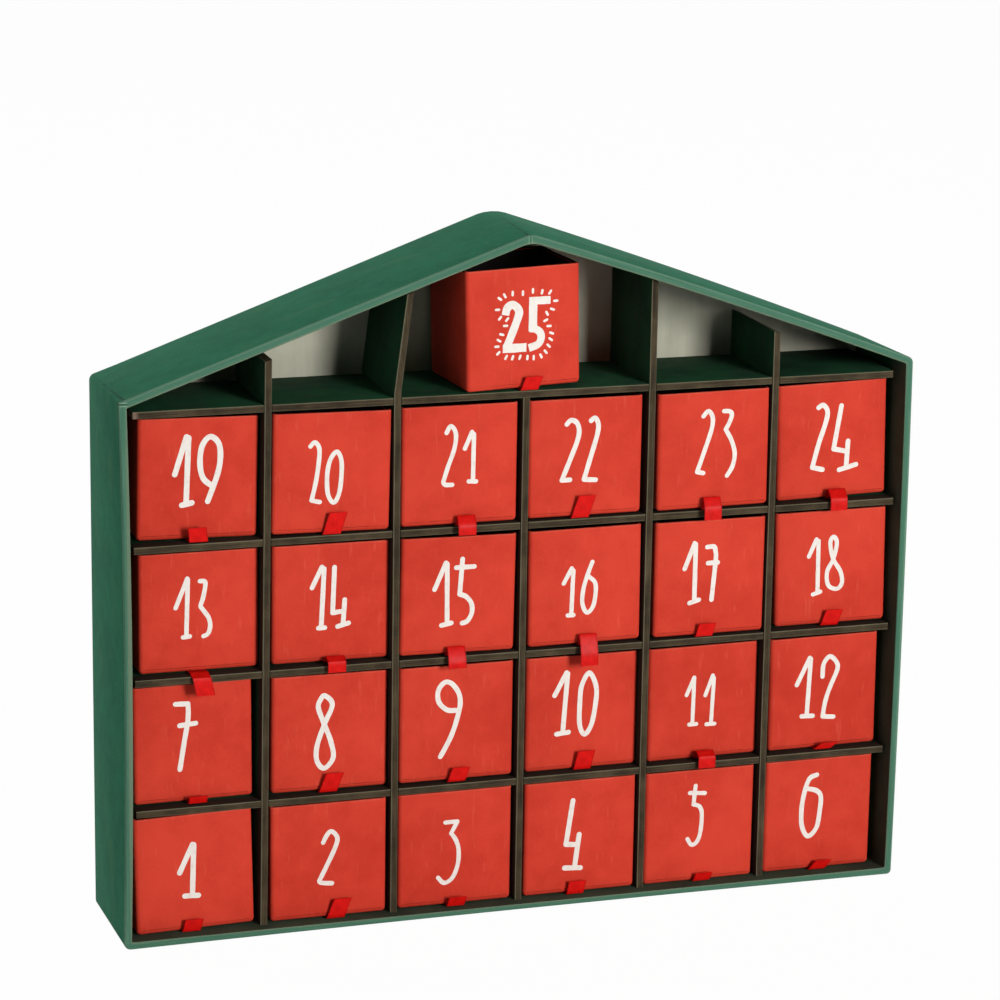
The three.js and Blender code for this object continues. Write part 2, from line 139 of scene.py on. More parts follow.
class NodeSheet:
    """The nodes of one material or of the world."""

    def __init__(self, tree: bpy.types.NodeTree) -> None:
        """Clears the tree for new nodes."""
        self.tree = tree
        tree.nodes.clear()

    def node(
        self,
        kind: str,
        settings: dict[str, object] | None = None,
        inputs: dict[int | str, object] | None = None,
        output: int | str = 0,
    ) -> Wire:
        """Adds a node.

        Args:
            kind: The node's type.
            settings: The node's own settings, set before its sockets.
            inputs: Values or wires by the name or place of their socket.
            output: The name or place of the socket to go on from.

        Returns:
            The chosen output.
        """
        made = self.tree.nodes.new(kind)
        for name, value in (settings or {}).items():
            setattr(made, name, value)
        for key, value in (inputs or {}).items():
            if isinstance(value, Wire):
                self.tree.links.new(value.socket, made.inputs[key])
            else:
                made.inputs[key].default_value = value
        return Wire(self, made.outputs[output])

    def mix(self, low: Wire | Colour, high: Wire | Colour, share: Wire | float) -> Wire:
        """The colour that lies a share of the way from low to high."""
        return self.node("ShaderNodeMix", {"data_type": "RGBA"}, {0: share, 6: low, 7: high}, 2)

    def place(self) -> Wire:
        """The point on the piece, in metres."""
        return self.node("ShaderNodeTexCoord", output="Object")

    def pattern(self) -> Wire:
        """The point on the piece's own flat pattern."""
        return self.node("ShaderNodeTexCoord", output="UV")

    def part(self, point: Wire, axis: int) -> Wire:
        """One coordinate of a point."""
        return self.node("ShaderNodeSeparateXYZ", {}, {0: point}, axis)

    def grain(self, point: Wire, size: float | Triple, detail: float = 3.0) -> Wire:
        """Noise with blotches of a given size.

        Args:
            point: The coordinates that the noise lies on.
            size: How large a blotch is, or how large along each coordinate, in the coordinates' unit.
            detail: How many finer layers there are.

        Returns:
            Values about 0.5.
        """
        sizes = size if isinstance(size, tuple) else (size, size, size)
        scaled = self.node("ShaderNodeVectorMath", {"operation": "DIVIDE"}, {0: point, 1: sizes})
        return self.node("ShaderNodeTexNoise", {}, {"Vector": scaled, "Scale": 1.0, "Detail": detail})

    def finish_with(self, shader: Wire, kind: str = "ShaderNodeOutputMaterial") -> None:
        """Joins a shader to the output."""
        target = self.tree.nodes.new(kind)
        self.tree.links.new(shader.socket, target.inputs["Surface"])


def new_sheet(name: str) -> tuple[bpy.types.Material, NodeSheet]:
    """A new material and its sheet of nodes."""
    material = bpy.data.materials.new(name)
    material.use_nodes = True
    return material, NodeSheet(material.node_tree)


# ---------------------------------------------------------------- finishes


@dataclass(frozen=True)
class Finish:
    """A finish made of nodes, with what is the same all over it. Its relief is in millimetres."""

    name: str
    specular: float = 0.15
    relief: float = 0.1

    def look(self, sheet: NodeSheet) -> tuple[Wire, Wire, Wire]:
        """What varies over the surface.

        Args:
            sheet: The material's nodes.

        Returns:
            The colour, the roughness and the height.
        """
        raise NotImplementedError

    def make(self) -> bpy.types.Material:
        """Makes the finish.

        Returns:
            Its material.
        """
        material, sheet = new_sheet(self.name)
        colour, roughness, height = self.look(sheet)
        normal = sheet.node("ShaderNodeBump", {}, {"Height": height, "Distance": self.relief * MM})
        varying = {"Base Color": colour, "Roughness": roughness, "Normal": normal}
        fixed = {"Specular IOR Level": self.specular}
        sheet.finish_with(sheet.node("ShaderNodeBsdfPrincipled", {}, {**fixed, **varying}))
        return material


@dataclass(frozen=True)
class CasePaper(Finish):
    """Dyed paper with a fine tooth, glued over the case's board and rubbed pale along its edges, with painted
    shade darkening the roof's folds.

    Noise sizes are in metres, or on the folded strip's pattern in millimetres. Places are in millimetres. A
    fold's are across the case at its rear and at its front, and a rim's are how deep in from its edge.
    """

    name: str = "case_paper"
    relief: float = 0.12
    deep: Colour = ink(20, 94, 66)
    plain: Colour = ink(38, 118, 86)
    faded: Colour = ink(64, 116, 82)
    rear_rim: Colour = ink(64, 92, 80)
    # Darkens the rims' joints, and is the painted shade laid into the roof's folds.
    crease: Colour = ink(18, 66, 47)
    rim: Colour = ink(66, 112, 90)
    rubbed: Colour = ink(128, 160, 136)
    frayed: Colour = ink(132, 138, 114)
    cloud: float = 0.035
    patch: float = 0.007
    fading: Triple = (0.028, 0.012, 0.02)
    tooth: float = 0.0008
    fleck: float = 0.0022
    flecked: Span = (0.66, 0.80)
    fleck_share: float = 0.14
    faded_spots: Span = (0.52, 0.72)
    faded_share: float = 0.4
    streak: Triple = (22.0, 0.30, 1.0)
    fray: Triple = (1.2, 0.5, 1.0)
    folded_strip: bool = True
    wall: float = 3.0
    half_depth: float = 26.0
    front_edge: Span = (24.4, 25.4)
    front_waver: float = 1.2
    rear_edge: Span = (25.2, 25.8)
    rear_waver: float = 1.0
    worn_rim: Span = (0.75, 0.3)
    frayed_rim: Span = (0.9, 0.4)
    roof_above: Span = (214.6, 215.0)
    ridge_above: Span = (254.6, 255.6)
    ridge_fold: Span = (0.4, -1.2)
    eave_fold: Span = (-159.7, -157.9)
    fold_half_width: float = 1.0
    fold_waver: float = 0.005
    ridge_joint: float = -0.7
    eave_joint: float = 214.4
    eave_joint_ends: Span = (-157.1, -156.6)
    joint_waver: float = 0.6
    joint_gap: Span = (0.05, 0.3)
    joint_edge_starts: Span = (0.25, 0.4)
    joint_edge_ends: Span = (0.65, 0.95)

    def _fold(self, sheet: NodeSheet, point: Wire, ends: Span) -> Wire:
        """How near a point is to a fold in the roof.

        Args:
            sheet: The material's nodes.
            point: The point, in metres.
            ends: Where the fold is across the case at the rear and at the front.

        Returns:
            1 on the fold, and 0 away from it.
        """
        rear, front = ends
        lean = sheet.part(point, 1) * ((rear - front) / (2 * self.half_depth))
        waver = (sheet.grain(point, self.fold_waver, 2) - 0.5) * MM
        off = abs(sheet.part(point, 0) - lean + waver - (rear + front) / 2 * MM)
        return 1.0 - off.rise(0.0, self.fold_half_width)

    def _joint(self, off: Wire) -> tuple[Wire, Wire]:
        """A joint's dark middle and its pale edges, from the distance to its line in metres."""
        pale = off.rise(*self.joint_edge_starts) - off.rise(*self.joint_edge_ends)
        return 1.0 - off.rise(*self.joint_gap), pale

    def _wear(
        self, sheet: NodeSheet, point: Wire, patches: Wire, colour: Wire, height: Wire
    ) -> tuple[Wire, Wire]:
        """Adds the rubbed rims, the folds' dents with painted shade in them, and the paper's joints.

        Args:
            sheet: The material's nodes.
            point: The point, in metres.
            patches: The paper's patches, which break up the folds.
            colour: The plain paper's colour.
            height: The plain paper's height.

        Returns:
            The worn paper's colour and height.
        """
        x, y, z = (sheet.part(point, axis) for axis in range(3))
        flat = sheet.pattern()
        streaks = sheet.grain(flat, self.streak)
        fray = sheet.grain(flat, self.fray)
        front = (y * -1.0 + (fray - 0.5) * (self.front_waver * MM)).rise(*self.front_edge)
        rear = (y + (fray - 0.5) * (self.rear_waver * MM)).rise(*self.rear_edge)
        middle = self.wall / 2
        from_middle = sheet.part(flat, 1) - middle
        corner = (abs(from_middle) + fray * 0.7 - 0.35).ramp(*(middle - deep for deep in self.worn_rim))
        worn = (streaks * 1.5 - 0.45).ramp(0.1, 0.9) * 0.35 + corner * 0.38
        frayed = from_middle.ramp(*(middle - deep for deep in self.frayed_rim))
        pale = sheet.mix(self.rubbed, self.frayed, frayed)
        folds = self._fold(sheet, point, self.ridge_fold).larger(self._fold(sheet, point, self.eave_fold))
        broken = 0.15 + (patches + y * -6.0).ramp(0.35, 0.7) * 0.75
        # Painted shade: the roof's folds are darkened in colour as well as dented.
        folded = folds * z.rise(*self.roof_above) * broken
        wobble = (fray - 0.5) * (self.joint_waver * MM)
        ridge_dark, ridge_pale = self._joint(abs(x - self.ridge_joint * MM + wobble))
        eave_dark, eave_pale = self._joint(abs(z - self.eave_joint * MM + wobble))
        at_ridge = z.rise(*self.ridge_above)
        at_eave = 1.0 - x.rise(*self.eave_joint_ends)
        rim = sheet.mix(self.rim, pale, worn)
        rim = sheet.mix(rim, self.rubbed, ridge_pale * at_ridge * 0.55 + eave_pale * at_eave * 0.85)
        rim = sheet.mix(rim, self.crease, ridge_dark * at_ridge * 0.2 + eave_dark * at_eave * 0.8)
        with_fold_shade = sheet.mix(sheet.mix(colour, self.rear_rim, rear), self.crease, folded)
        joints = ridge_dark * at_ridge * 0.4 + eave_dark * at_eave
        return sheet.mix(with_fold_shade, rim, front), height + front * (streaks * 1.2 - joints * 2.0) - folded * 1.6

    def look(self, sheet: NodeSheet) -> tuple[Wire, Wire, Wire]:
        """Cloudy green with flecks and faded patches, and on the folded strip with its wear and the painted
        shade in its folds.
        """
        point = sheet.place()
        patches = sheet.grain(point, self.patch)
        tooth = sheet.grain(point, self.tooth, 2)
        flecks = sheet.grain(point, self.fleck, 2)
        shade = (sheet.grain(point, self.cloud) * 0.6 + patches * 0.5 + tooth * 0.6 - 0.35).ramp(0.2, 0.8)
        body = sheet.mix(self.deep, self.plain, shade)
        speckled = sheet.mix(body, self.rubbed, flecks.ramp(*self.flecked) * self.fleck_share)
        fading = sheet.grain(point, self.fading).ramp(*self.faded_spots)
        colour = sheet.mix(speckled, self.faded, fading * self.faded_share)
        height = tooth * 0.7 + flecks * 0.5
        if self.folded_strip:
            colour, height = self._wear(sheet, point, patches, colour, height)
        return colour, 0.74 + tooth * 0.14, height


@dataclass(frozen=True)
class BackLining(Finish):
    """Off-white lining paper with faint upright streaks."""

    name: str = "back_lining"
    relief: float = 0.06
    grey: Colour = ink(170, 168, 150)
    pale: Colour = ink(188, 186, 168)
    streak: Triple = (0.003, 0.006, 0.03)
    cloud: float = 0.012
    tooth: float = 0.0006

    def look(self, sheet: NodeSheet) -> tuple[Wire, Wire, Wire]:
        """Pale paper, drawn out upwards."""
        point = sheet.place()
        streaks = sheet.grain(point, self.streak)
        clouds = sheet.grain(point, self.cloud)
        tooth = sheet.grain(point, self.tooth, 2)
        colour = sheet.mix(self.grey, self.pale, (streaks * 0.4 + clouds * 0.6).ramp(0.25, 0.75))
        return colour, 0.82 + tooth * 0.1, tooth + streaks * 0.5


class Grain(Enum):
    """The way in which the layers of a raw board edge run: how large their streaks are, in metres."""

    ACROSS = (0.018, 0.0012, 0.00022)
    UPRIGHT = (0.00022, 0.0012, 0.018)


@dataclass(frozen=True)
class Greyboard(Finish):
    """The raw cut edge of grey pressed board, with its layers as streaks and its two skins a little paler, the
    one towards the light more so as a painted highlight.
    """

    specular: float = 0.1
    relief: float = 0.22
    grain: Grain = Grain.ACROSS
    dark: Colour = ink(48, 41, 31)
    light: Colour = ink(92, 80, 60)
    skin: Colour = ink(112, 108, 86)
    bleached: Colour = ink(150, 126, 108)
    cloud: float = 0.009
    fibre: float = 0.0005
    lit_skin: Span = (0.28, 0.42)
    lower_skin: Span = (0.34, 0.46)
    bleached_left: Span = (-153.2, -151.2)
    bleached_above: Span = (195.0, 200.0)

    def look(self, sheet: NodeSheet) -> tuple[Wire, Wire, Wire]:
        """Streaks along the board's edge with fibres between them."""
        point = sheet.place()
        layers = sheet.grain(point, self.grain.value, 4)
        clouds = sheet.grain(point, self.cloud)
        fibres = sheet.grain(point, self.fibre)
        share = (layers * 0.9 + clouds * 0.55 + fibres * 0.35 - 0.4).ramp(0.28, 0.85)
        off_middle = sheet.part(sheet.pattern(), 0) + layers * 0.16 - 0.08
        # Painted highlight: the skin on the side towards the light is made paler than the other.
        lit_skin_highlight = off_middle.ramp(*self.lit_skin) * (0.5 + clouds * 0.6)
        skins = lit_skin_highlight + (off_middle * -1.0).ramp(*self.lower_skin) * (0.2 + clouds * 0.4)
        on_left = 1.0 - sheet.part(point, 0).rise(*self.bleached_left)
        ends = on_left * sheet.part(point, 2).rise(*self.bleached_above)
        body = sheet.mix(sheet.mix(self.dark, self.light, share), self.skin, skins)
        colour = sheet.mix(body, self.bleached, ends * (0.2 + clouds * 0.8))
        return colour, 0.86 + fibres * 0.1, layers + fibres * 0.7


@dataclass(frozen=True)
class GridPaper(Finish):
    """The deep green paper on the faces of the grid's boards, a little scuffed to brown."""

    name: str = "grid_paper"
    deep: Colour = ink(16, 50, 32)
    plain: Colour = ink(26, 74, 46)
    scuffed: Colour = ink(62, 58, 44)
    gap_shade: Colour = ink(30, 21, 14)
    cloud: float = 0.02
    tooth: float = 0.0007
    scuff: Triple = (0.012, 0.0012, 0.004)
    scuffs: Span = (0.54, 0.72)
    scuff_share: float = 0.5
    gap_shade_front: Span | None = (-16.5, -13.0)
    gap_shade_below: Span = (205.0, 210.0)

    def look(self, sheet: NodeSheet) -> tuple[Wire, Wire, Wire]:
        """Cloudy deep paper with a fine tooth, darkened near the boards' front edges between the drawers as
        painted shade.
        """
        point = sheet.place()
        clouds = sheet.grain(point, self.cloud)
        tooth = sheet.grain(point, self.tooth, 2)
        scuffs = sheet.grain(point, self.scuff)
        body = sheet.mix(self.deep, self.plain, (clouds + tooth * 0.4 - 0.2).ramp(0.25, 0.75))
        colour = sheet.mix(body, self.scuffed, scuffs.ramp(*self.scuffs) * self.scuff_share)
        # Painted shade: the boards' faces in the gaps round the drawers' fronts go near black.
        if self.gap_shade_front:
            near = 1.0 - sheet.part(point, 1).rise(*self.gap_shade_front)
            low = 1.0 - sheet.part(point, 2).rise(*self.gap_shade_below)
            colour = sheet.mix(colour, self.gap_shade, near * low)
        return colour, 0.76 + tooth * 0.12, tooth


@dataclass(frozen=True)
class DrawerPaper(Finish):
    """Matt red paper over the drawers' board, a little blotched, and rubbed at its edges."""

    name: str = "drawer_paper"
    deep: Colour = ink(195, 52, 35)
    plain: Colour = ink(216, 66, 47)
    scuffed: Colour = ink(230, 106, 84)
    tone: Triple = (0.055, 0.2, 0.055)
    blotch: float = 0.009
    tooth: float = 0.0006
    scuff: Triple = (0.0016, 0.004, 0.011)
    scuffs: Span = (0.60, 0.78)
    scuff_share: float = 0.2
    worn_rim: Span = (0.97, 0.998)

    def look(self, sheet: NodeSheet) -> tuple[Wire, Wire, Wire]:
        """Each drawer's tone differs a little, and scuffs run up the faces."""
        point = sheet.place()
        blotches = sheet.grain(point, self.blotch)
        tooth = sheet.grain(point, self.tooth, 2)
        scuffs = sheet.grain(point, self.scuff).ramp(*self.scuffs)
        flat = sheet.pattern()
        rim = abs(sheet.part(flat, 0)).larger(abs(sheet.part(flat, 1)))
        worn = (rim + blotches * 0.02 - 0.01).ramp(*self.worn_rim)
        shade = sheet.grain(point, self.tone, 1) * 0.7 + blotches * 0.5 + tooth * 0.25 - 0.22
        body = sheet.mix(self.deep, self.plain, shade.ramp(0.2, 0.75))
        marked = sheet.mix(body, self.scuffed, scuffs * self.scuff_share)
        colour = sheet.mix(marked, self.scuffed, worn * (0.2 + blotches * 0.5))
        return colour, 0.70 + tooth * 0.16 - scuffs * 0.08, tooth * 0.7 + blotches * 0.6


@dataclass(frozen=True)
class RibbonSatin(Finish):
    """Glossy satin ribbon with threads along it and a firmer woven edge.

    Sizes are in millimetres across and along the ribbon.
    """

    name: str = "ribbon_satin"
    specular: float = 0.1
    relief: float = 0.05
    deep: Colour = ink(184, 10, 8)
    bright: Colour = ink(225, 22, 17)
    thread: Triple = (0.16, 3.0, 1.0)
    pick: Triple = (2.0, 0.14, 1.0)
    cloud: Triple = (3.0, 3.0, 1.0)
    selvedge: Span = (3.1, 3.4)

    def look(self, sheet: NodeSheet) -> tuple[Wire, Wire, Wire]:
        """Fine threads on the ribbon's own length and width."""
        flat = sheet.pattern()
        threads = sheet.grain(flat, self.thread, 2)
        picks = sheet.grain(flat, self.pick, 1)
        clouds = sheet.grain(flat, self.cloud, 2)
        selvedge = abs(sheet.part(flat, 0)).ramp(*self.selvedge)
        share = (threads * 0.5 + clouds * 0.5 + selvedge * -0.25).ramp(0.2, 0.7)
        colour = sheet.mix(self.deep, self.bright, share)
        return colour, 0.3 + threads * 0.16 + selvedge * 0.1, threads * 0.6 + picks * 0.4 + selvedge * 0.8


@dataclass(frozen=True)
class NumberPaint(Finish):
    """Off-white paint, laid on thinly enough for the paper's tooth to show."""

    name: str = "number_paint"
    specular: float = 0.2
    relief: float = 0.06
    thin: Colour = ink(232, 221, 211)
    full: Colour = ink(240, 234, 226)
    patch: float = 0.0022
    tooth: float = 0.0006

    def look(self, sheet: NodeSheet) -> tuple[Wire, Wire, Wire]:
        """Nearly even off-white with thinner spots."""
        point = sheet.place()
        patches = sheet.grain(point, self.patch)
        tooth = sheet.grain(point, self.tooth, 2)
        colour = sheet.mix(self.thin, self.full, (patches + tooth * 0.4 - 0.2).ramp(0.2, 0.55))
        return colour, 0.55 + tooth * 0.15, tooth


# ---------------------------------------------------------------- shared work on meshes


def edges_where(mesh: BMesh, test: Callable[[BMEdge], bool]) -> list[BMEdge]:
    """The mesh's edges that pass a test."""
    return [edge for edge in mesh.edges if test(edge)]


def bevel_edges(mesh: BMesh, edges: Iterable[BMEdge], offset: float, segments: int) -> None:
    """Rounds edges over.

    Args:
        mesh: The mesh they are on.
        edges: The edges.
        offset: How far from the edge the round begins.
        segments: How many steps the round has.
    """
    bmesh.ops.bevel(
        mesh, geom=list(edges), offset=offset, offset_type="OFFSET", affect="EDGES", segments=segments,
        profile=0.5, material=-1,
    )


def cut(mesh: BMesh, faces: Iterable[BMFace], point: Sequence[float], direction: Sequence[float]) -> None:
    """Cuts faces along a plane.

    Args:
        mesh: The mesh they are on.
        faces: The faces.
        point: A point of the plane.
        direction: The plane's direction.
    """
    chosen = list(faces)
    edges = {edge for face in chosen for edge in face.edges}
    verts = {vert for face in chosen for vert in face.verts}
    parts = [*verts, *edges, *chosen]
    bmesh.ops.bisect_plane(mesh, geom=parts, dist=TOUCH, plane_co=point, plane_no=direction)


def grow(mesh: BMesh, faces: Iterable[BMFace], by: Sequence[float] = (0, 0, 0)) -> list[BMVert]:
    """Draws faces out into walls.

    Args:
        mesh: The mesh they are on.
        faces: The faces.
        by: How far, and which way, they move.

    Returns:
        The moved faces' corners.
    """
    grown = bmesh.ops.extrude_face_region(mesh, geom=list(faces))
    moved = [part for part in grown["geom"] if isinstance(part, BMVert)]
    bmesh.ops.translate(mesh, verts=moved, vec=by)
    return moved


def lay_flat(mesh: BMesh, name: str, place: Callable[[BMFace, Vector], Point]) -> None:
    """Gives each face a place on a flat pattern.

    Args:
        mesh: The mesh.
        name: The pattern's name.
        place: Where the pattern has a point of a face.
    """
    layer = mesh.loops.layers.uv.new(name)
    for face in mesh.faces:
        for loop in face.loops:
            loop[layer].uv = place(face, loop.vert.co)


def looks_along(face: BMFace, axis: int, least: float = LOOKS_ALONG) -> bool:
    """Whether a face looks along an axis, one way or the other."""
    return abs(face.normal[axis]) > least


def sharp_edges(mesh: BMesh) -> list[BMEdge]:
    """The edges between two faces that meet at more than SHARP_ANGLE."""
    return edges_where(mesh, lambda edge: len(edge.link_faces) == 2 and edge.calc_face_angle() > SHARP_ANGLE)


def smooth_path(points: Sequence[Vector], closed: bool, steps: int) -> list[Vector]:
    """A smooth curve through points.

    Args:
        points: The points, in order.
        closed: Whether the curve comes back to its start.
        steps: How many steps it takes from one point to the next.

    Returns:
        The curve's points, the last one of a closed curve on its first.
    """
    count = len(points)

    def at(k: int) -> Vector:
        """The point at a place, which wraps round or stays at an end."""
        return points[k % count] if closed else points[min(max(k, 0), count - 1)]

    path = []
    for span in range(count if closed else count - 1):
        a, b, c, d = (at(span + k) for k in (-1, 0, 1, 2))
        for step in range(steps):
            t = step / steps
            second, third = 2 * a - 5 * b + 4 * c - d, 3 * b - a - 3 * c + d
            path.append(0.5 * (2 * b + (c - a) * t + second * t**2 + third * t**3))
    path.append(at(count) if closed else points[-1])
    return path


def stand(name: str, data: bpy.types.ID) -> bpy.types.Object:
    """A new object in the scene."""
    made = bpy.data.objects.new(name, data)
    bpy.context.scene.collection.objects.link(made)
    return made


def stand_mesh(name: str, mesh: BMesh, finishes: Iterable[bpy.types.Material]) -> bpy.types.Object:
    """Makes a mesh an object in the scene.

    Args:
        name: The object's name.
        mesh: The mesh, which is freed.
        finishes: The finishes that its faces take by their number.

    Returns:
        The object.
    """
    data = bpy.data.meshes.new(name)
    mesh.to_mesh(data)
    mesh.free()
    for finish in finishes:
        data.materials.append(finish)
    return stand(name, data)


@dataclass(frozen=True)
class Mount:
    """How a finished mesh stands in the scene. Edges that bend less than smooth_below degrees look smooth."""

    name: str
    body: str
    slot: str
    finishes: tuple[bpy.types.Material, ...]
    stands_for: tuple[str, ...] = ()
    smooth_below: float = 32.0

    def place(self, mesh: BMesh, to: Matrix | None = None) -> bpy.types.Object:
        """Makes the piece from a mesh in millimetres.

        Args:
            mesh: The mesh, which is freed.
            to: Where the mesh goes, if it isn't there yet, in millimetres.

        Returns:
            The piece, riding its body.
        """
        if to is not None:
            bmesh.ops.transform(mesh, matrix=to, verts=mesh.verts)
        bmesh.ops.transform(mesh, matrix=Matrix.Scale(MM, 4), verts=mesh.verts)
        bmesh.ops.recalc_face_normals(mesh, faces=mesh.faces)
        piece = stand_mesh(self.name, mesh, self.finishes)
        piece.data.shade_smooth()
        piece.data.set_sharp_from_angle(angle=math.radians(self.smooth_below))
        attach(piece, self.body)
        if self.stands_for:
            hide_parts(*self.stands_for)
        log.info("%s: %d faces on %s", self.name, len(piece.data.polygons), self.body)
        return piece


# ---------------------------------------------------------------- the case


@dataclass(frozen=True)
class RoofForm:
    """The roof slopes, which bow and warp a little."""

    half_width: float = 160.0
    half_depth: float = 26.0
    eave: float = 215.0
    slope_degrees: float = 19.574
    wall: float = 3.0
    right_bow: float = 1.2
    right_eave_lift: float = 1.0
    ridge_back_rise: float = 1.7
    left_rear_flare: float = 0.5

    @property
    def upright_thickness(self) -> float:
        """The roof board's thickness, measured straight up."""
        return self.wall / math.cos(math.radians(self.slope_degrees))

    def straight_top(self, x: float) -> float:
        """The height of the roof before it bows and warps."""
        return self.eave + (self.half_width - abs(x)) * math.tan(math.radians(self.slope_degrees))

    def shift(self, x: float, y: float) -> float:
        """How far the bow and the warp raise the roof.

        Args:
            x: The place across the case.
            y: The place from front to back.

        Returns:
            The rise.
        """
        to_eave = min(1.0, abs(x) / self.half_width)
        to_back = (y + self.half_depth) / (2 * self.half_depth)
        rise = self.ridge_back_rise * (1 - to_eave) * to_back
        if x > 0:
            bow = 4 * self.right_bow * to_eave * (1 - to_eave)
            rise += bow + self.right_eave_lift * to_eave * (1 - to_back)
        return rise

    def underside(self, x: float, y: float) -> float:
        """The height of the roof's underside."""
        return self.straight_top(x) - self.upright_thickness + self.shift(x, y)

    def house(self, inset: float) -> list[Point]:
        """The straight outline's five corners.

        Args:
            inset: How far inside the case's outside it runs.

        Returns:
            Bottom left, bottom right, right eave, ridge and left eave.
        """
        half = self.half_width - inset
        drop = inset / math.cos(math.radians(self.slope_degrees))
        eave, ridge = self.straight_top(half) - drop, self.straight_top(0) - drop
        return [(-half, inset), (half, inset), (half, eave), (0.0, ridge), (-half, eave)]


def runs_along_depth(edge: BMEdge, x: float, z: float) -> bool:
    """Whether an edge runs from front to back through a point of the outline."""
    return all(abs(vert.co.x - x) < MATCH and abs(vert.co.z - z) < MATCH for vert in edge.verts)


def house_face(mesh: BMesh, corners: Sequence[Point], y: float, cuts: int, wall_cuts: int = 0) -> BMFace:
    """Adds a house-shaped face.

    Args:
        mesh: The mesh to add to.
        corners: Its five corners, as RoofForm.house gives them.
        y: Where it stands from front to back.
        cuts: How many points its slopes get between their ends.
        wall_cuts: How many points its floor and walls get between their ends.

    Returns:
        The face.
    """
    verts = [mesh.verts.new((x, y, z)) for x, z in corners]
    ring = [mesh.edges.new((verts[k], verts[(k + 1) % len(verts)])) for k in range(len(verts))]
    bmesh.ops.subdivide_edges(mesh, edges=ring[2:4], cuts=cuts)
    if wall_cuts:
        bmesh.ops.subdivide_edges(mesh, edges=[ring[0], ring[1], ring[4]], cuts=wall_cuts)
    return bmesh.ops.contextual_create(mesh, geom=mesh.edges[:])["faces"][0]


class CaseFace(Enum):
    """The faces of the case that take different papers."""

    PAPER = 0
    LINING = 1
    TURNED = 2


